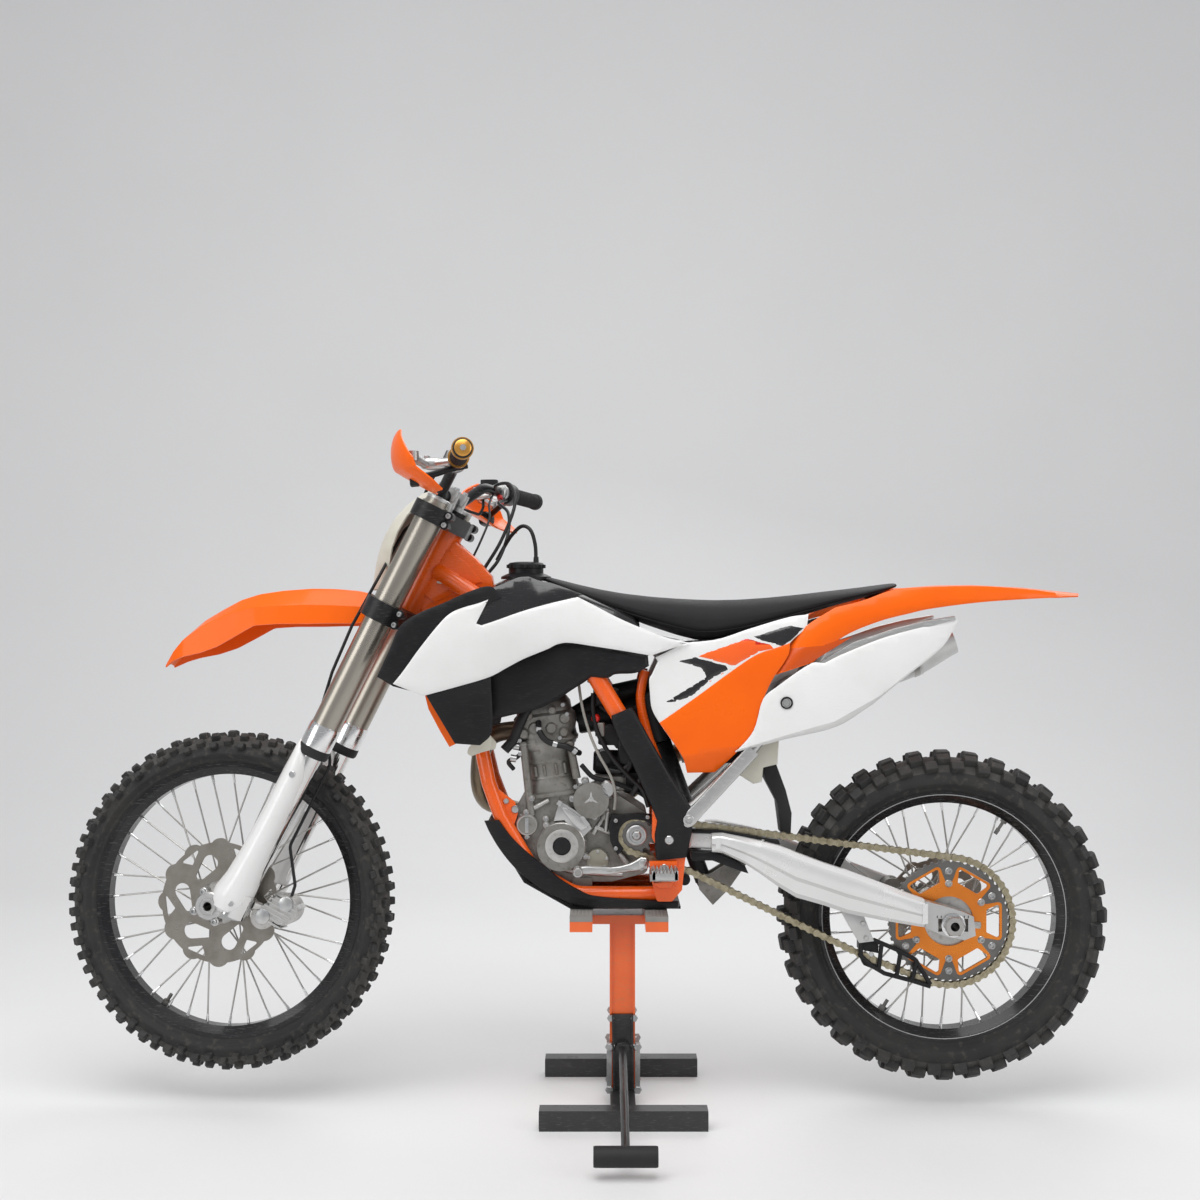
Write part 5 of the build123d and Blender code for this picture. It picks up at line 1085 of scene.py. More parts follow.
addLoft(barrelMesh, [(barrelSpot(along, -2), acrossX * (half / 1000), Vector((0, deep / 1000, 0)), power)
                     for along, half, deep, power in headRings], steps=56)
for x, low, high in ((51, -36, 108), (-51, 26, 96)):
    addRod(barrelMesh, barrelSpot(low, x, 60), barrelSpot(high, x * 0.92, 60), 0.0085, 0.0078, 24)
    addTurned(barrelMesh, discProfile([(0, 0), (9.6, 0), (9.6, 5), (7, 8), (0, 8)]),
              Matrix.Translation(barrelSpot(high - 2, x * 0.92, 60)) @ upward.to_track_quat("Z", "Y").to_matrix().to_4x4(),
              steps=24, closed=False)
for x in (-30, -12, 12, 30):
    addLoft(barrelMesh, [(barrelSpot(along, x, 53), acrossX * 0.0032, Vector((0, 0.004, 0)), 2.4) for along in (40, 60)], 14)
for x, along, size in ((44, 130, 11), (20, 138, 13), (-14, 134, 12), (-44, 150, 12), (-38, 122, 10), (30, 164, 9), (-20, 170, 9)):
    addTurned(barrelMesh, discProfile([(0, -14), (size, -14), (size, 3), (size - 3, 6), (0, 6.6)]),
              Matrix.Translation(barrelSpot(along, x, 59)) @ Matrix.Rotation(math.radians(-90), 4, "X"), steps=24, closed=False)
for x, along in ((52, 150), (-52, 158), (-46, 178), (44, 176), (56, 118), (-30, 112), (4, 112)):
    addBolt(barrelMesh, barrelSpot(along, x * 0.95, 60.5), (0, 1, 0), 0.0050, 0.006, sides=6, slot=1)
for x in (-40, 0, 40):
    addBolt(barrelMesh, barrelSpot(192, x * 0.8, 30), upward, 0.0050, 0.006, sides=6, slot=1)
for along in (112, 116, 120):
    addLoft(barrelMesh, [(barrelSpot(along, -60, 0), acrossX * 0.002, Vector((0, 0.048, 0)), 2.4),
                         (barrelSpot(along, 58, 0), acrossX * 0.002, Vector((0, 0.048, 0)), 2.4)], 12)
barrelPiece = pushMesh("cylinderCasting", barrelMesh, ["castAlloy", "zincSteel"], "chassis", 32)
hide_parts("cylinder")

hoses = bmesh.new()
addTube(hoses, [mm(171, 60, 787), mm(169, 74, 770), mm(156, 78, 752), mm(136, 76, 743), mm(113, 76, 738), mm(96, 72, 728), mm(88, 58, 724)],
        0.0062)
for spot, way in ((mm(170, 72, 774), (2, -2, -17)), (mm(137, 76, 743.5), (20, 0, 6)), (mm(98, 73, 730), (14, 4, 10))):
    run = Vector(way).normalized() * 0.0045
    addRod(hoses, spot - run, spot + run, 0.0078, None, 18, 1)
addTube(hoses, [mm(90, 70, 872), mm(84, 78, 830), mm(76, 82, 795), mm(64, 84, 758), mm(48, 85, 722), mm(32, 86, 694), mm(20, 87, 668),
                mm(15, 87, 640), mm(17, 84, 612)], 0.0030, slot=2)
addTube(hoses, [mm(60, 66, 846), mm(60, 70, 810), mm(52, 72, 770), mm(36, 74, 738), mm(14, 74, 706), mm(-14, 74, 676), mm(-40, 74, 650),
                mm(-52, 70, 616)], 0.0048)
addTube(hoses, [mm(120, 20, 850), mm(150, 40, 842), mm(186, 58, 822), mm(206, 64, 790), mm(222, 62, 752), mm(240, 66, 730)], 0.0105)
addTube(hoses, [mm(-20, 62, 640), mm(-30, 70, 660), mm(-44, 66, 690), mm(-40, 50, 720)], 0.0065)
addTube(hoses, [mm(30, 66, 690), mm(8, 70, 688), mm(-12, 68, 700), mm(-20, 60, 722)], 0.0055)
addTube(hoses, [mm(224, 52, 740), mm(204, 56, 730), mm(214, 60, 716), mm(232, 58, 706), mm(222, 50, 690)], 0.0045)
for x, y, z in ((216, 56, 736), (206, 58, 722), (222, 60, 712)):
    addRod(hoses, mm(x - 6, y, z), mm(x + 6, y, z + 2), 0.0075, None, 14, 1)
addLoft(hoses, [(mm(55, 56, 795), mm(9, 0, 0), mm(0, 0, 9), 2), (mm(55, 70, 795), mm(9, 0, 0), mm(0, 0, 9), 2),
                (mm(55, 74, 795), mm(6, 0, 0), mm(0, 0, 6), 2)], 20, 3)
for x, z in ((24, 770), (2, 742), (36, 716), (-8, 770)):
    addLoft(hoses, [(mm(x, 20, z), mm(15, 0, 4), mm(-4, 0, 13), 3), (mm(x, 62, z), mm(13, 0, 4), mm(-4, 0, 11), 3)], 24)
finishes["greyHose"] = surface("greyHose", dict(tint=(0.30, 0.29, 0.26), patch=(0.22, 0.21, 0.19), gloss=(0.3, 0.45),
                                                grain=[(400, 0.0001, even)]))
hosePiece = pushMesh("engineHoses", hoses, ["hoseRubber", "zincSteel", "greyHose", "redPlastic"], "chassis", 45)

trim = bmesh.new()
addPlate(trim, [(268, 668), (252, 652), (218, 626), (212, 603), (222, 572), (200, 528), (214, 528), (244, 580), (262, 630)], 66, 72,
         slot=0, bevel=2)
addBolt(trim, mm(236, 72, 628), (0, 1, 0), 0.006, 0.004, sides=6, slot=1)
addLoft(trim, [(mm(306, 88, 730), mm(6, 0, 4), mm(-3, 0, 8), 3), (mm(290, 92, 742), mm(8, 0, 3), mm(-2, 0, 14), 3),
               (mm(272, 90, 748), mm(7, 0, 2), mm(-2, 0, 16), 3), (mm(262, 80, 742), mm(6, 0, 2), mm(-2, 0, 9), 3)], 24, 2)
trimPiece = pushMesh("engineBrackets", trim, ["framePaint", "zincSteel", "creamPlastic"], "chassis", 32)

guardMesh = bmesh.new()
guardRows = [(3, 812, 20, 9), (0, 803, 23, 11), (-11, 779, 25, 12), (-23, 755, 26, 12), (-46, 715, 26, 12), (-66, 675, 28, 12),
             (-88, 635, 31, 12), (-102, 607, 34, 12), (-101, 571, 38, 12), (-98, 540, 34, 12), (-97, 518, 30, 9)]
for side in (1, -1):
    addLoft(guardMesh, [(mm(x, 111 * side, z), mm(half, 0, -half * (0.42 if z > 600 else 0.1)), mm(0, deep, 0), 3.4) for x, z, half, deep in guardRows], 36)
    addTurned(guardMesh, discProfile([(0, 0), (9, 0), (9, 3), (7.6, 4.6), (4.2, 4.6), (4, 2.6), (0, 2.6)]),
              sideTurn(-92, 121, 556, side), steps=28, slot=1, closed=False)
guardPiece = pushMesh("frameGuardShells", guardMesh, ["blackPlastic", "brightAlloy"], "chassis", 40)
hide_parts("frame_guards")

strutMesh = bmesh.new()
strutEnds = {"low": (-131, 596), "high": (-262, 737)}
for side in (1, -1):
    (lx, lz), (hx, hz) = strutEnds["low"], strutEnds["high"]
    run = Vector((hx - lx, 0, hz - lz)).normalized()
    over = Vector((-run.z, 0, run.x))
    rows = [(-14, 6), (-12, 10), (-6, 13.5), (0, 15), (8, 15), (26, 14), (150, 14), (190, 14)]
    addLoft(strutMesh, [(mm(lx, 117 * side, lz) + run * (along / 1000), over * (half / 1000), Vector((0, 0.0055, 0)), 4)
                        for along, half in rows], 24)
    addTurned(strutMesh, discProfile([(5, 0), (11, 0), (11, 2.6), (9.6, 3.4), (6.4, 3.4), (5, 2.4)]), sideTurn(lx, 122, lz, side), steps=28)
    addBolt(strutMesh, mm(lx, 122.5 * side, lz), (0, side, 0), 0.0062, 0.004, sides=6, slot=1)
strutPiece = pushMesh("subframeStruts", strutMesh, ["bareAlloy", "zincSteel"], "chassis", 40)

flankShape = {"front": 118.0, "rear": 115.0}
flankLine = [(268, 900), (268, 794), (241, 800), (215, 806), (171, 816), (134, 834), (94, 860), (76, 871), (64, 881), (30, 879),
             (16, 886), (-26, 889), (-52, 903), (-50, 925), (26, 940), (98, 952), (134, 950), (171, 934), (227, 910)]
flankMesh = bmesh.new()
addPanel(flankMesh, flankLine, lambda x, z: blend([(-60, flankShape["rear"]), (90, 114), (180, 112), (270, flankShape["front"])], x)
         - 0.0016 * (z - 870) ** 2 / 4, sharp={0, 1, 8, 12, 13}, sides=(1, -1), roll=(10.0, 7.0), wall=3.0,
         creases=[((240, 800), (60, 900))])
flankPiece = pushMesh("tankFlanks", flankMesh, "blackPlastic", "chassis", 30)

stay = bmesh.new()
for side in (1, -1):
    addTube(stay, [mm(x, 64 * side, z) for x, z in ((-46, 892), (-39, 862), (-36, 836), (-40, 806), (-48, 775), (-58, 744), (-72, 706))],
            0.0095, sides=20)
stayPiece = pushMesh("frameStays", stay, "framePaint", "chassis", 45)

skidMesh = bmesh.new()
skidOuter = [(279, 590), (268, 566), (246, 530), (216, 494), (180, 464), (140, 440), (100, 424), (60, 417), (-40, 414), (-112, 414)]
skidInner = [(-112, 428), (-40, 431), (60, 440), (92, 453), (127, 474), (162, 502), (196, 530), (226, 560), (250, 592)]
for side in (1, -1):
    addPlate(skidMesh, skidOuter + skidInner, 82 * side, 94 * side, sharp={0, 9, 10, 18}, bevel=3)
skidPiece = pushMesh("skidPlateSides", skidMesh, "blackPlastic", "chassis", 35)

sliver = bmesh.new()
for side in (1, -1):
    addPlate(sliver, [(396, 850), (388, 818), (366, 776), (346, 742), (326, 752), (330, 800), (352, 850)], 122 * side, 127 * side, bevel=1.5)
sliverPiece = pushMesh("radiatorBraces", sliver, "orangePlastic", "chassis", 35)

exhaustShape = {
    "header": [(196, -6, 768), (262, -8, 758), (288, -16, 730), (297, -30, 688), (297, -52, 640), (284, -96, 606), (250, -132, 590), (200, -145, 574),
               (142, -146, 562), (80, -146, 568), (22, -146, 592), (-98, -146, 690), (-170, -140, 732), (-248, -134, 775), (-318, -130, 803)],
    "silencer": [(0, 0), (19, 0), (21, 8), (40, 30), (49, 44), (50, 52), (50, 318), (51, 322), (51, 332), (49, 336), (44, 366), (37, 402), (35, 418),
                 (27, 418), (25, 395), (0, 392)],
}
pipes = bmesh.new()
addTube(pipes, [mm(*spot) for spot in exhaustShape["header"]], 0.0190, sides=28)
silencerTurn, silencerRun = lineUp(mm(-318, -130, 803), mm(-708, -118, 955))
addTurned(pipes, discProfile(exhaustShape["silencer"]), silencerTurn @ Matrix.Translation((0, 0, -silencerRun / 2)), steps=48, slot=1, closed=False)
for along in (54, 314):
    addTurned(pipes, discProfile([(50, 0), (51.6, 0), (51.6, 12), (50, 12)]), silencerTurn @ Matrix.Translation((0, 0, along / 1000 - silencerRun / 2)),
              steps=48, slot=2)
addTurned(pipes, discProfile([(19, -8), (25, -8), (25, 8), (19, 8)]), lineUp(mm(196, -6, 768), mm(214, -7, 765))[0], steps=32, slot=2)
finishes["headerSteel"] = surface("headerSteel", dict(tint=(0.22, 0.165, 0.10), patch=(0.13, 0.10, 0.075), patchScale=9, gloss=(0.25, 0.45), metal=0.85,
                                                      grain=[(500, 0.0001, even)]))
pipePiece = pushMesh("exhaustPipes", pipes, ["headerSteel", "bareAlloy", "plainSteel"], "chassis", 35)
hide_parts("exhaust")

intake = bmesh.new()
addTurned(intake, discProfile([(0, 0), (26, 0), (28, 4), (28, 30), (33, 36), (33, 66), (30, 70), (28, 92), (36, 110), (36, 118), (52, 150), (56, 176),
                               (0, 176)]), lineUp(mm(92, 0, 786), mm(-84, 0, 812))[0] @ Matrix.Translation((0, 0, -0.089)), steps=40, closed=False)
addTurned(intake, discProfile([(0, 0), (18, 0), (25, 6), (25, 78), (22, 84), (12, 86), (12, 94), (0, 94)]),
          lineUp(mm(60, 24, 704), mm(-34, 24, 700))[0] @ Matrix.Translation((0, 0, -0.047)), steps=36, closed=False)
addTurned(intake, discProfile([(0, 0), (22, 0), (25, 4), (25, 96), (22, 102), (0, 104)]), lineUp(mm(-52, 40, 846), mm(-74, 46, 744))[0]
          @ Matrix.Translation((0, 0, -0.052)), steps=36, closed=False)
for spot, size, slot in (((20, 52, 760), (30, 13, 20), 0), ((-14, 60, 728), (24, 10, 26), 0), ((34, 44, 838), (26, 24, 17), 0), ((-30, 30, 664), (30, 26, 22), 0),
                         ((24, 30, 662), (34, 30, 16), 1), ((46, 60, 772), (10, 8, 14), 1)):
    x, y, z = spot
    wide, deep, tall = size
    addLoft(intake, [(mm(x, y, z - tall), mm(wide * 0.86, 0, 0), mm(0, deep * 0.86, 0), 5), (mm(x, y, z - tall * 0.86), mm(wide, 0, 0), mm(0, deep, 0), 5),
                     (mm(x, y, z + tall * 0.86), mm(wide, 0, 0), mm(0, deep, 0), 5), (mm(x, y, z + tall), mm(wide * 0.86, 0, 0), mm(0, deep * 0.86, 0), 5)], 32, slot)
addTube(intake, [mm(46, 66, 820), mm(20, 70, 800), mm(-4, 70, 770), mm(-20, 72, 736), mm(-16, 72, 700), mm(0, 66, 676)], 0.0042)
addTube(intake, [mm(70, 40, 870), mm(30, 66, 850), mm(4, 72, 824), mm(-10, 70, 790), mm(-34, 60, 760)], 0.0036)
addTube(intake, [mm(84, 62, 700), mm(60, 70, 676), mm(30, 70, 668), mm(-6, 66, 656), mm(-40, 60, 640), mm(-60, 50, 620)], 0.0050)
intakePiece = pushMesh("intakeParts", intake, ["blackPlastic", "castAlloy"], "chassis", 35)
print("engine dressed")

# Swingarm and what hangs on it, the foot controls and the tail's inner parts

swingShape = {
    "inner": 87.0, "outer": 117.5,
    "beam": [(-178, 531, 566), (-200, 529, 567), (-241, 509, 559), (-275, 487, 552), (-310, 462, 543), (-346, 440, 529),
             (-402, 424, 508), (-448, 408, 493), (-520, 394, 466), (-560, 387, 451), (-604, 380, 435)],
    "profile": [(0, 0.05), (0, 0.95), (0.1, 1), (0.62, 1), (0.93, 0.88), (1, 0.80), (1, 0.47), (0.90, 0.38), (0.90, 0.10),
                (0.80, 0), (0.1, 0)],  # how far out and how high, as shares of the beam's section
}


def addBeam(bm, stations, profile, inner, outer, side):
    # one long bar of a given section, its ends closed
    first = len(bm.faces)
    edges = []
    for x, low, high in stations:
        row = [bm.verts.new(mm(x, (inner + (outer - inner) * out) * side, low + (high - low) * up)) for out, up in profile]
        edges += [bm.edges.new((row[index - 1], row[index])) for index in range(len(row))]
    bmesh.ops.bridge_loops(bm, edges=edges)
    bmesh.ops.holes_fill(bm, edges=[edge for edge in edges if len(edge.link_faces) == 1])
    bm.faces.ensure_lookup_table()
    fresh = bm.faces[first:]
    bmesh.ops.recalc_face_normals(bm, faces=fresh)
    # upward faces take slot 1, painted lighter as if lit from above; downward faces take slot 2, painted shade
    for face in fresh:
        normal = face.normal
        face.material_index = 1 if normal.z > 0.35 else 2 if normal.z < -0.25 else 0


# one alloy in three tones: plain, a painted highlight for upward faces and painted shade for downward faces
for name, bright in (("swingAlloy", 0.76), ("swingLitTop", 0.86), ("swingShadedUnder", 0.58)):
    finishes[name] = surface(name, dict(tint=(bright, bright, bright - 0.01), patch=(bright - 0.04, bright - 0.04, bright - 0.05),
                                        patchScale=5, gloss=(0.26, 0.32), metal=0.4))
swing = bmesh.new()
for side in (1, -1):
    addBeam(swing, swingShape["beam"], swingShape["profile"], swingShape["inner"], swingShape["outer"], side)
    for x, low, high in ((-190, 538, 560), (-604, 388, 428)):
        addPlate(swing, [(x - 5, low), (x + 5, low), (x + 5, high), (x - 5, high)], 88 * side, 119 * side, bevel=1.0)
    addTurned(swing, discProfile([(8, 0), (16, 0), (16, 2), (14, 3.5), (8, 3.5)]), sideTurn(-87, 118, 560, side), steps=32, slot=3)
addPlate(swing, [(-133, 566), (-186, 565), (-250, 553), (-262, 548), (-262, 500), (-240, 511), (-186, 531), (-133, 535)], -88, 88, bevel=4)
addRod(swing, mm(-87, -122, 560), mm(-87, 122, 560), 0.0085, None, 28, 3)
for side in (1, -1):
    addRod(swing, mm(-87, 36 * side, 560), mm(-87, 58 * side, 560), 0.019, None, 32, 0)
    addPlate(swing, [(-87, 545), (-140, 541), (-140, 562), (-87, 575)], 37 * side, 57 * side, bevel=2)
for x, high in ((-280, 551), (-560, 451)):
    addBolt(swing, mm(x, 102, high), (0, 0, 1), 0.0045, 0.003, sides=12, slot=3)
swingPiece = pushMesh("swingarmCasting", swing, ["swingAlloy", "swingLitTop", "swingShadedUnder", "zincSteel"], "chassis", 28)
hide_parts("swingarm")

rubbing = bmesh.new()
addPlate(rubbing, [(-140, 572), (-190, 572), (-252, 562), (-316, 548), (-316, 542), (-252, 554), (-190, 566), (-140, 566)], 60, 92, bevel=1.5)
addPlate(rubbing, [(-136, 530), (-190, 527), (-226, 512), (-246, 500), (-252, 486), (-232, 492), (-180, 512), (-138, 512)], 60, 104, bevel=2)
guideLines = [[(-477, 346), (-505, 350), (-555, 329), (-590, 310), (-620, 260)], [(-477, 320), (-501, 298), (-528, 282), (-581, 268), (-620, 256)],
              [(-480, 350), (-480, 316)], [(-522, 344), (-516, 290)], [(-560, 326), (-552, 276)], [(-592, 306), (-584, 268)]]
for line in guideLines:
    for (x1, z1), (x2, z2) in zip(line, line[1:]):
        addRod(rubbing, mm(x1, 87, z1), mm(x2, 87, z2), 0.0045, None, 12)
addPlate(rubbing, [(-476, 352), (-516, 344), (-516, 322), (-476, 330)], 60, 84, bevel=2)
addPlate(rubbing, [(-480, 312), (-516, 296), (-516, 286), (-486, 298)], 60, 84, bevel=2)
addPlate(rubbing, [(-438, 410), (-484, 402), (-506, 348), (-476, 344), (-452, 384)], 88, 92, slot=1, bevel=1)
for x, z in ((-490, 354), (-484, 384), (-500, 322)):
    addBolt(rubbing, mm(x, 91.5, z), (0, 1, 0), 0.0055, 0.004, sides=6, slot=1)
rubbingPiece = pushMesh("chainSliders", rubbing, ["blackPlastic", "bareAlloy"], "chassis", 35)
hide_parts("chain_guide")

axleEnds = bmesh.new()
for side in (1, -1):
    addTurned(axleEnds, discProfile([(10, 0), (21.5, 0), (21.5, 11), (19.5, 13.5), (13.5, 13.5), (12.2, 10)]), sideTurn(-660, 119, 385, side),
              steps=6, slot=1)
    addTurned(axleEnds, discProfile([(12, 0), (24, 0), (24, 1.8), (22, 2.6), (12, 2.6)]), sideTurn(-660, 116.5, 385, side), steps=36)
    addBolt(axleEnds, mm(-706, 101 * side, 383), (-1, 0, -0.05), 0.0075, 0.012, sides=6, slot=1)
    addRod(axleEnds, mm(-704, 101 * side, 383), mm(-716, 101 * side, 382.5), 0.0045, None, 16, 1)
    for x in (-628, -636, -644, -674, -682, -690):
        addPlate(axleEnds, [(x - 0.8, 399.5), (x + 0.8, 399.5), (x + 0.8, 404), (x - 0.8, 404)], 116 * side, 116.8 * side, slot=2, bevel=0.2)
axlePiece = pushMesh("rearAxleNuts", axleEnds, ["brightAlloy", "plainSteel", "blackMetal"], "chassis", 30)

def turningBolts(bm, hub, rows, y, size, side=1, sides=6, slot=0, washer=True):
    # rows give how many, at what radius and from what angle
    for many, radius, start in rows:
        for index in range(many):
            angle = math.radians(start + 360 * index / many)
            spot = hub + Vector((math.cos(angle) * radius / 1000, y / 1000, math.sin(angle) * radius / 1000))
            if washer:
                addBolt(bm, spot, (0, side, 0), size * 1.25, 0.0012, sides=20, slot=slot)
            addBolt(bm, spot, (0, side, 0), size, 0.0050, sides=sides, slot=slot, socket=True)


wheelBolts = bmesh.new()
hubSpot = Vector((rearHub.x, 0, rearHub.z))
sprocketOut = max(corner[1] for corner in bpy.data.objects["rear_sprocket"].bound_box) * 1000
turningBolts(wheelBolts, hubSpot, ((6, 76, 30), (6, 101, 30)), sprocketOut, 0.0062, sides=6)
turningBolts(wheelBolts, hubSpot, ((6, 52, 0),), -sprocketOut - 2, 0.0052, side=-1, sides=6)
boltPiece = pushMesh("sprocketBolts", wheelBolts, "zincSteel", "rear_wheel", 30)

feet = bmesh.new()
comb = []
for index in range(7):
    comb += [(-107 + index * 7.2, 497), (-103.4 + index * 7.2, 508)]
for side in (1, -1):
    for low, high in ((126, 131), (151, 155), (177, 183)):
        addPlate(feet, comb + [(-56, 497), (-56, 486), (-107, 486)], low * side, high * side, bevel=0.5)
    for x in (-104, -59):
        addPlate(feet, [(x - 3.5, 486), (x + 3.5, 486), (x + 3.5, 505), (x - 3.5, 505)], 126 * side, 183 * side, bevel=1)
    addPlate(feet, [(-108, 514), (-52, 514), (-58, 470), (-74, 458), (-96, 462), (-108, 484)], 114.6 * side, 124 * side, slot=1, bevel=2.5)
    addBolt(feet, mm(-82, 124 * side, 503), (0, side, 0), 0.006, 0.004, sides=20, slot=0)
leverRows = [(-52, 93, 504, 5), (-48, 93, 505, 12), (-38, 93, 505, 13.5), (-28, 93.5, 501, 11), (-14, 94, 497, 8), (6, 95, 493, 7), (24, 97, 491, 7.5),
             (40, 101, 492, 8.5), (58, 106, 494, 8), (74, 110, 494, 8.5), (86, 112, 494, 8), (94, 112, 494, 4)]
addLoft(feet, [(mm(x, y, z), mm(0, 5.5 if half > 6 else 3, 0), mm(0.10 * half, 0, half), 3) for x, y, z, half in leverRows], 28)
addTurned(feet, discProfile([(0, 0), (10, 0), (10, 26), (8.6, 28), (6.4, 28), (6, 22), (0, 22)]), sideTurn(90, 111, 493.5), steps=28, closed=False)
addTurned(feet, discProfile([(0, 21.5), (6.1, 21.5), (6.1, 23), (0, 23)]), sideTurn(90, 111, 493.5), steps=20, slot=2, closed=False)
addTurned(feet, discProfile([(0, 0), (8, 0), (8, 2), (6, 3), (0, 3)]), sideTurn(-40, 98, 505), steps=24, closed=False)
footPiece = pushMesh("footPegs", feet, ["bareAlloy", "framePaint", "blackPlastic"], "chassis", 32)

inner = bmesh.new()
addPlate(inner, [(-226, 742), (-318, 752), (-315, 701), (-286, 694), (-283, 665), (-266, 661), (-234, 681)], -62, 62, bevel=3)
addPlate(inner, [(-288, 695), (-314, 702), (-335, 645), (-347, 598), (-345, 553), (-326, 556), (-318, 619), (-293, 666)], -34, 34, slot=1, bevel=2)
for side in (1, -1):
    addPlate(inner, [(-384, 904), (-460, 950), (-542, 978), (-598, 992), (-664, 1003), (-667, 998), (-511, 947), (-400, 902)], 99 * side, 111 * side,
             slot=2, bevel=1.5)
innerPiece = pushMesh("tailInners", inner, ["creamPlastic", "gripRubber", "bareAlloy"], "chassis", 35)
print("swingarm and foot controls made")

# Fork, controls and everything else that turns with the bars, laid out straight ahead and then turned

def forkTurn(along, lead, side, outward=False):
    # puts a piece made round Z on the fork: its axis up the fork, or out to the side
    axis = Vector((0, math.copysign(1, side), 0)) if outward else steerAxis
    return Matrix.Translation(forkSpot(along, lead, side)) @ axis.to_track_quat("Z", "Y").to_matrix().to_4x4()


def turnIn(bm):
    bmesh.ops.transform(bm, matrix=steerTurn, verts=bm.verts)


def twin(bm):
    # a piece placed on the bike's left at rest gains its mirror image on the right
    bmesh.ops.transform(bm, matrix=steerTurn.inverted(), verts=bm.verts)
    made = bmesh.ops.duplicate(bm, geom=bm.verts[:] + bm.edges[:] + bm.faces[:])["geom"]
    copied = [each for each in made if isinstance(each, bmesh.types.BMVert)]
    bmesh.ops.scale(bm, vec=(1, -1, 1), verts=copied)
    bmesh.ops.reverse_faces(bm, faces=[each for each in made if isinstance(each, bmesh.types.BMFace)])
    bmesh.ops.transform(bm, matrix=steerTurn, verts=bm.verts)


forkShape = {
    "spread": 105.0, "line": 22.0,
    "guard": [(4, 52, 5, 10), (-6, 46, 12, 24), (-22, 38, 20, 33), (-60, 32, 28, 36), (-150, 31, 30, 37), (-240, 32, 32, 38),
              (-300, 34, 36, 38), (-334, 37, 41, 38), (-352, 38, 40, 37), (-366, 40, 33, 33), (-374, 42, 20, 22)],
    # along the fork, ahead of the steering line, half width, half depth
    "boltRows": [(293, 22), (317, 22), (515, 22), (535, 22)],
}
guards = bmesh.new()
for side in (1, -1):
    rows = [(forkSpot(along, lead, (forkShape["spread"] + 2) * side), forkAhead * (half / 1000), Vector((0, deep / 1000, 0)), 1.75)
            for along, lead, half, deep in forkShape["guard"]]
    addLoft(guards, rows, 48)
    addTurned(guards, discProfile([(0, 0), (6.5, 0), (6.5, 2), (5, 3.4), (0, 3.4)]), forkTurn(-346, 26, 139 * side, True), steps=24, slot=1,
              closed=False)
    addTurned(guards, discProfile([(0, 0), (6.5, 0), (6.5, 2), (5, 3.4), (0, 3.4)]), forkTurn(-62, 30, 141 * side, True), steps=24, slot=1,
              closed=False)
turnIn(guards)
guardPiece = pushMesh("forkGuardShells", guards, ["whitePlastic", "zincSteel"], "steering", 35)
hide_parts("fork_guards")

fittings = bmesh.new()
for side in (1, -1):
    y = forkShape["spread"] * side
    addTurned(fittings, discProfile([(29.6, 2), (31.6, 2), (32.2, 8), (32.2, 44), (30.4, 50), (29.6, 50)]), forkTurn(0, 22, y), steps=56)
    addTurned(fittings, discProfile([(24.6, -17), (31, -17), (33, -13), (33, -4), (32.6, 1.5), (24.6, 1.5)]), forkTurn(0, 22, y), steps=56, slot=1)
    addTurned(fittings, discProfile([(0, 0), (25.4, 0), (25.4, 5), (23, 7), (13, 7.4), (12, 5), (0, 5)]), forkTurn(554.5, 22, y),
              steps=48, slot=5, closed=False)
    addTurned(fittings, discProfile([(0, 0), (6.5, 0), (6, 3.5), (0, 4)]), forkTurn(559, 22, y), steps=6, slot=2, closed=False)
    for along, lead in forkShape["boltRows"]:
        back = -17
        addTurned(fittings, discProfile([(0, -26), (9, -26), (9, 0), (7.5, 1.5), (0, 1.5)]), forkTurn(along, back, 128 * side, True),
                  steps=24, slot=3, closed=False)
        addBolt(fittings, forkSpot(along, back, 129.2 * side), (0, side, 0), 0.0052, 0.005, sides=16, slot=2, socket=True)
    addTurned(fittings, discProfile([(13, 0), (28.5, 0), (28.5, 20), (26, 23), (15, 23), (13, 21)]), forkTurn(-376, 67, 107 * side, True),
              steps=48, slot=5)
    addTurned(fittings, discProfile([(10, 0), (18.5, 0), (18.5, 4.5), (17, 6), (12, 6), (10, 4)]), forkTurn(-376, 67, 129 * side, True),
              steps=6, slot=2)
    for along, lead in ((-398, 42), (-356, 90), (-399, 90), (-350, 36)):
        addTurned(fittings, discProfile([(0, -22), (8.5, -22), (8.5, 0), (7, 1.5), (0, 1.5)]), forkTurn(along, lead, 126 * side, True), steps=24,
                  slot=5, closed=False)
        addBolt(fittings, forkSpot(along, lead, 127.2 * side), (0, side, 0), 0.0055, 0.0055, sides=16, slot=2, socket=True)
for rank in range(7):
    addLoft(fittings, [(forkSpot(-300 - rank * 9, -66 + rank * 3, 60), forkAhead * 0.033, steerAxis * 0.0020, 4),
                       (forkSpot(-300 - rank * 9, -66 + rank * 3, 99.5), forkAhead * 0.031, steerAxis * 0.0020, 4)], 20, 5)
for along, lead in ((-306, -66), (-350, -34)):
    addTurned(fittings, discProfile([(0, 0), (15, 0), (15, 3), (12, 4.5), (0, 4.5)]), forkTurn(along, lead, 98, True), steps=32, slot=2,
              closed=False)
turnIn(fittings)
fittingPiece = pushMesh("forkFittings", fittings, ["brightAlloy", "gripRubber", "zincSteel", "blackMetal", "orangeAlloy", "bareAlloy"], "steering", 35)

plateShape = [(1056, 514, 40), (1080, 510, 56), (1105, 505, 78), (1135, 497, 92), (1168, 484, 98), (1200, 466, 96), (1228, 441, 90),
              (1253, 408, 80)]  # height, front, half width


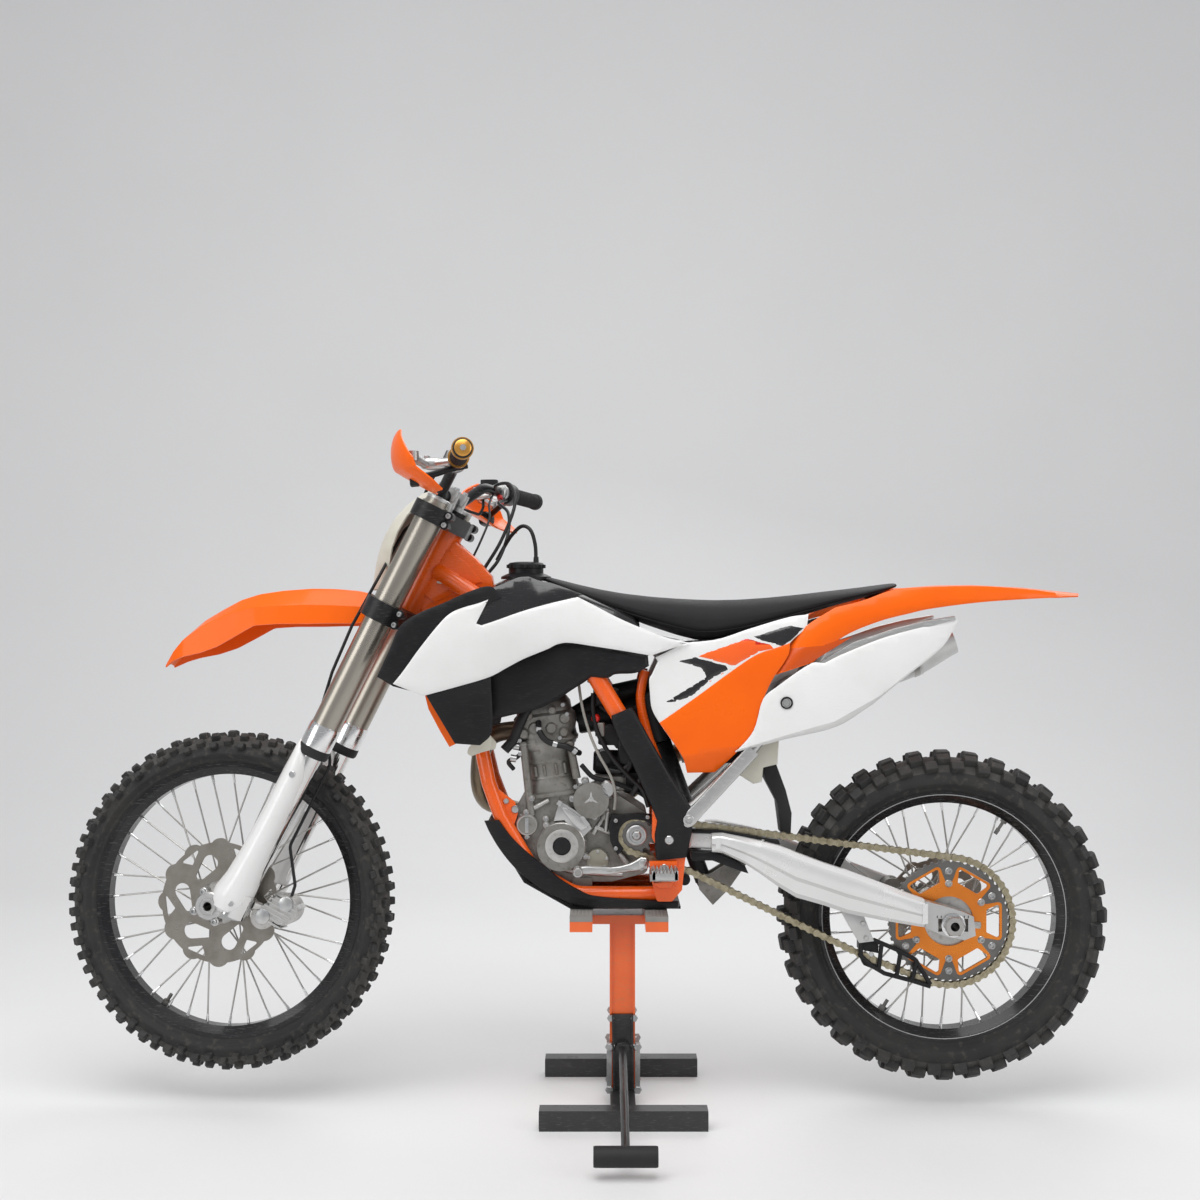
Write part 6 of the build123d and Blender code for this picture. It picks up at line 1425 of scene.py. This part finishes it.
def platePlace(along, across):
    z = 1056 + along * 197
    front, half = (blend([(row[0], row[k]) for row in plateShape], z) for k in (1, 2))
    corner = max(0.0, abs(along - 0.5) * 2 - 0.86) / 0.14
    wide = half * (1 - 0.10 * corner**2)
    return mm(front - 46 * abs(across) ** 2.2 + 5, wide * across, z)


plateMesh = bmesh.new()
addSheet(plateMesh, 30, 28, platePlace, wall=3.2)
for face in plateMesh.faces:
    face.material_index = 0
turnIn(plateMesh)
platePiece = pushMesh("numberPlateShell", plateMesh, "creamPlastic", "steering", 40)
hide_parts("number_plate")

bladeLine = [(-118, 1286), (-70, 1318), (-8, 1349), (6, 1350), (40, 1322), (64, 1294), (66, 1278), (54, 1254), (30, 1236), (-60, 1233), (-112, 1250)]
handMesh = bmesh.new()


def bladeDepth(u, z):
    lip = max(0.0, 1276 - z)
    return 438 - 52 * (max(0.0, u + 50) / 118) ** 2 - 9 * abs((z - 1308) / 40) ** 2 - 1.2 * lip - 16 * max(0.0, (-60 - u) / 58) ** 1.6


addPanel(handMesh, bladeLine, bladeDepth, sharp={2, 3, 5, 6, 8, 9}, wall=3.5, roll=(8.0, 2.4), spacing=9.0,
         creases=[((-118, 1274), (70, 1276))])
swap = Matrix(((0, 1, 0, 0), (1, 0, 0, 0), (0, 0, 1, 0), (0, 0, 0, 1)))
bmesh.ops.transform(handMesh, matrix=Matrix.Translation((0, 0.361, 0)) @ swap, verts=handMesh.verts)
bmesh.ops.recalc_face_normals(handMesh, faces=handMesh.faces)
addLoft(handMesh, [(mm(398, 330, 1262), mm(0, 26, 0), mm(0, 0, 16), 4), (mm(384, 334, 1262), mm(0, 24, 0), mm(0, 0, 15), 4),
                   (mm(376, 336, 1262), mm(0, 14, 0), mm(0, 0, 9), 4)], 28, 1)
addTube(handMesh, [mm(386, 330, 1264), mm(360, 300, 1272), mm(330, 274, 1284), mm(300, 262, 1292)], 0.0065, slot=1)
addTurned(handMesh, discProfile([(0, 0), (7, 0), (6, 3), (0, 3.6)]), Matrix.Translation(mm(399, 318, 1262)) @ Matrix.Rotation(math.radians(90), 4, "Y"),
          steps=24, slot=2, closed=False)
twin(handMesh)
handPiece = pushMesh("handGuardBlades", handMesh, ["orangePlastic", "blackPlastic", "zincSteel"], "steering", 35)
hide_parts("hand_guards")


def barLine(share, side=1):
    # along the grip, from its inner end at 0 to the bar's end at 1
    near, far = forkSpot(625, 12, 150 * side), forkSpot(656, -52, 400 * side)
    return near.lerp(far, share)


def barTurn(share, side):
    return Matrix.Translation(barLine(share, side)) @ (barLine(1, side) - barLine(0, side)).to_track_quat("Z", "Y").to_matrix().to_4x4()


bars = bmesh.new()
for side in (1, -1):
    for share, radius, deep, slot in ((0.50, 19.5, 5, 0), (1.0, 18.5, 4, 0)):
        addTurned(bars, discProfile([(11.3, 0), (radius, 0), (radius, deep), (radius - 1.5, deep + 1), (11.3, deep + 1)]), barTurn(share, side),
                  steps=40, slot=slot)
    for rank in range(16):
        addTurned(bars, discProfile([(14, 0), (17.1, 0.6), (17.1, 2.6), (14, 3.2)]), barTurn(0.53 + rank * 0.028, side), steps=28, slot=0)
    addTurned(bars, discProfile([(0, 0), (15, 0), (15, 2), (11, 3.4), (0, 3.4)]), barTurn(1.016, side), steps=32, slot=0, closed=False)
for share in (0.56, 0.985):
    addTurned(bars, discProfile([(15, -1), (20.6, -1), (20.6, 6), (15, 6)]), barTurn(share, 1), steps=40, slot=1)
addTurned(bars, discProfile([(0, 0), (15.5, 0), (15.5, 3), (12, 4.6), (0, 4.6)]), barTurn(1.024, 1), steps=32, slot=1, closed=False)
addTurned(bars, discProfile([(0, 0), (6, 0), (6, 2), (0, 2)]), barTurn(1.041, 1), steps=6, slot=3, closed=False)
for share, side in ((0.30, 1), (0.30, -1)):
    addTurned(bars, discProfile([(11.3, -11), (17.5, -11), (19, -9), (19, 9), (17.5, 11), (11.3, 11)]), barTurn(share, side), steps=32, slot=2)
    addTurned(bars, discProfile([(11.3, -3), (20.5, -3), (20.5, 3), (11.3, 3)]), barTurn(share, side), steps=32, slot=3)
for side in (1, -1):
    start, end = barLine(0.34, side) + mm(58, 0, -4), barLine(0.93, side) + mm(90, 0, -10)
    addLoft(bars, [(start + mm(-34, -10 * side, 2), mm(0, 10, 0), mm(0, 0, 11), 3), (start + mm(-6, 0, 0), mm(0, 13, 0), mm(0, 0, 12), 3),
                   (start + mm(8, 6 * side, 0), mm(0, 9, 0), mm(0, 0, 9), 3)], 24, 2)
    run = end - start
    addLoft(bars, [(start + run * share + mm(math.sin(share * math.pi) * 10, 0, 0), Vector((0, 0, 0.001 * high)), Vector((0.0052, 0, 0)), 2.2)
                   for share, high in ((0, 9), (0.06, 9), (0.25, 7.6), (0.5, 7.2), (0.8, 7.2), (0.95, 8), (1, 7))], 18, 2)
    addTurned(bars, discProfile([(0, -9), (9, -9), (9.6, 0), (9, 9), (0, 9)]), Matrix.Translation(end), steps=24, slot=2, closed=False)
    addBolt(bars, start + mm(0, 0, 12), (0, 0, 1), 0.0062, 0.005, sides=6, slot=3)
addLoft(bars, [(barLine(0.36, -1) + mm(x, -4, 6), mm(0, 17, 0), mm(0, 0, 15), 3.4) for x in (8, 30, 52)], 28, 4)
addLoft(bars, [(barLine(0.36, -1) + mm(30, 0, z), mm(19, 0, 0), mm(0, 15, 0), 4) for z in (18, 26, 29)], 28, 4)
addTurned(bars, discProfile([(11.3, -20), (22, -20), (25, -16), (25, 14), (22, 20), (11.3, 20)]), barTurn(0.44, -1), steps=36, slot=4)
addTurned(bars, discProfile([(0, 0), (6, 0), (6, 26), (4.4, 30), (0, 30)]), Matrix.Translation(barLine(0.44, -1) + mm(6, 30, -22))
          @ Matrix.Rotation(math.radians(-70), 4, "X"), steps=20, slot=5, closed=False)
addTurned(bars, discProfile([(0, 0), (5, 0), (5, 12), (0, 13)]), Matrix.Translation(barLine(0.30, 1) + mm(14, -16, -2))
          @ Matrix.Rotation(math.radians(60), 4, "X"), steps=20, slot=5, closed=False)
for y in (41, -41):
    for lead in (14, 42):
        addBolt(bars, forkSpot(590, lead, y), steerAxis, 0.0055, 0.006, sides=16, slot=3, socket=True)
    addLoft(bars, [(forkSpot(along, 28, y), forkAhead * 0.024, Vector((0, 0.0125, 0)), 5) for along in (566, 588, 590.5)], 28, 2)
    addLoft(bars, [(forkSpot(along, 24, y), forkAhead * 0.021, Vector((0, 0.0145, 0)), 4) for along in (543, 562)], 28, 2)
turnIn(bars)
barPiece = pushMesh("barFittings", bars, ["gripRubber", "goldAlloy", "bareAlloy", "zincSteel", "blackPlastic", "redPlastic"], "steering", 35)

cables = bmesh.new()
loops = {
    "throttleIn": [barLine(0.42, -1) + mm(6, 26, -8), forkSpot(640, -10, -150), forkSpot(655, -50, -95), forkSpot(620, -88, -52),
                   forkSpot(540, -100, -34), forkSpot(470, -96, -26)],
    "throttleOut": [barLine(0.44, -1) + mm(-4, 26, -16), forkSpot(610, -30, -165), forkSpot(600, -70, -110), forkSpot(560, -100, -64),
                    forkSpot(505, -112, -40), forkSpot(462, -106, -30)],
    "clutch": [barLine(0.33, 1) + mm(30, -20, 0), forkSpot(650, 46, 120), forkSpot(628, 62, 60), forkSpot(570, 74, 30), forkSpot(500, 72, 10),
               forkSpot(430, 62, 8), forkSpot(370, 58, 14)],
    "switch": [barLine(0.22, -1), forkSpot(600, -20, -130), forkSpot(570, -44, -90), forkSpot(520, -56, -58), forkSpot(470, -60, -44)],
}
for name, size in (("throttleIn", 0.0036), ("throttleOut", 0.0036), ("clutch", 0.0034), ("switch", 0.0024)):
    addTube(cables, loops[name], size)
turnIn(cables)
cablePiece = pushMesh("controlCables", cables, "hoseRubber", "steering", 60)

gusset = bmesh.new()
addPlate(gusset, [(368, 1164), (345, 1160), (300, 1120), (268, 1084), (262, 1050), (300, 1040), (340, 1034), (376, 1010), (404, 1000), (436, 1036)],
         -26, 26, bevel=7)
for side in (1, -1):
    addPlate(gusset, [(360, 1140), (320, 1112), (288, 1072), (330, 1058), (385, 1030), (408, 1046)], 26 * side, 30 * side, bevel=2)
    addPlate(gusset, [(398, 1000), (330, 1010), (300, 960), (330, 900), (352, 880), (366, 940)], 14 * side, 22 * side, bevel=2)
    addTube(gusset, [mm(372, 34 * side, 1092), mm(340, 37 * side, 1078), mm(300, 40 * side, 1062), mm(262, 54 * side, 1052)], 0.0022, slot=1)
    addTube(gusset, [mm(380, 33 * side, 1072), mm(344, 36 * side, 1064), mm(306, 40 * side, 1046), mm(262, 56 * side, 1036)], 0.0022, slot=2)
gussetPiece = pushMesh("headGussets", gusset, ["framePaint", "hoseRubber", "creamPlastic"], "chassis", 35)
print("fork and controls made")

# Paddock stand

standShape = {"middle": 0.0, "pads": [(-66.5, 22.5), (83.5, 22.5)]}
rack = bmesh.new()
for side in (1, -1):
    addPlate(rack, [(-165, 0), (165, 0), (165, 40), (-165, 40)], 160 * side, 200 * side, bevel=3)
    for x in (-165.5, 164.5):
        addPlate(rack, [(x, 4), (x + 1, 4), (x + 1, 36), (x, 36)], 164 * side, 196 * side, slot=4, bevel=0.3)
    y = 30 * side
    addPlate(rack, [(-24, 26), (19, 26), (22, 186), (-22, 186)], y - 3, y + 3, bevel=1.5)
    addPlate(rack, [(-24, 26), (-20, 26), (-18, 186), (-22, 186)], y, y + 11 * side, bevel=1)
    addPlate(rack, [(19, 26), (15, 26), (18, 186), (22, 186)], y, y + 11 * side, bevel=1)
    for x in (27, -31):
        addPlate(rack, [(x - 5, 24), (x + 5, 24), (x + 5, 128), (x - 5, 128)], y + 2 * side, y + 5 * side, slot=1, bevel=0.8)
        for z in (32, 120):
            addBolt(rack, mm(x, y + 5 * side, z), (0, side, 0), 0.0085, 0.006, sides=6, slot=1)
        addRod(rack, mm(x, y, 120), mm(x * 0.6, y, 120), 0.005, None, 12, 1)
    for x in (-24, 24):
        addBolt(rack, mm(x, y + 2 * side, 178), (0, side, 0), 0.0075, 0.005, sides=6, slot=1)
        addPlate(rack, [(x - 2, 186), (x + 2, 186), (x + 2, 371), (x - 2, 371)], 26 * side, 31 * side, slot=2, bevel=0.8)
addPlate(rack, [(-25, 0), (25, 0), (25, 30), (-25, 30)], -170, 170, bevel=3)
for x, half in standShape["pads"]:
    for low in (-154, 96):
        for row in range(8):
            for column in range(6):
                spot = mm(x - half + 4 + column * (half * 2 - 8) / 5, low + 3 + row * 7.4, 410.4)
                addTurned(rack, discProfile([(0, 0), (3.6, 0), (1.6, 1.3), (0, 1.3)]), Matrix.Translation(spot), steps=4, slot=3, closed=False)
addTurned(rack, discProfile([(16.5, -58), (18, -58), (19, -54), (19, 54), (18, 58), (16.5, 58)]),
          Matrix.Translation(mm(0, 460, 41)) @ Matrix.Rotation(math.radians(90), 4, "Y"), steps=32, slot=4)
rackPiece = pushMesh("standLinks", rack, ["standBlack", "zincSteel", "standPaint", "padRubber", "gripRubber"], "chassis", 30)
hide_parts("stand_base")
print("stand dressed")
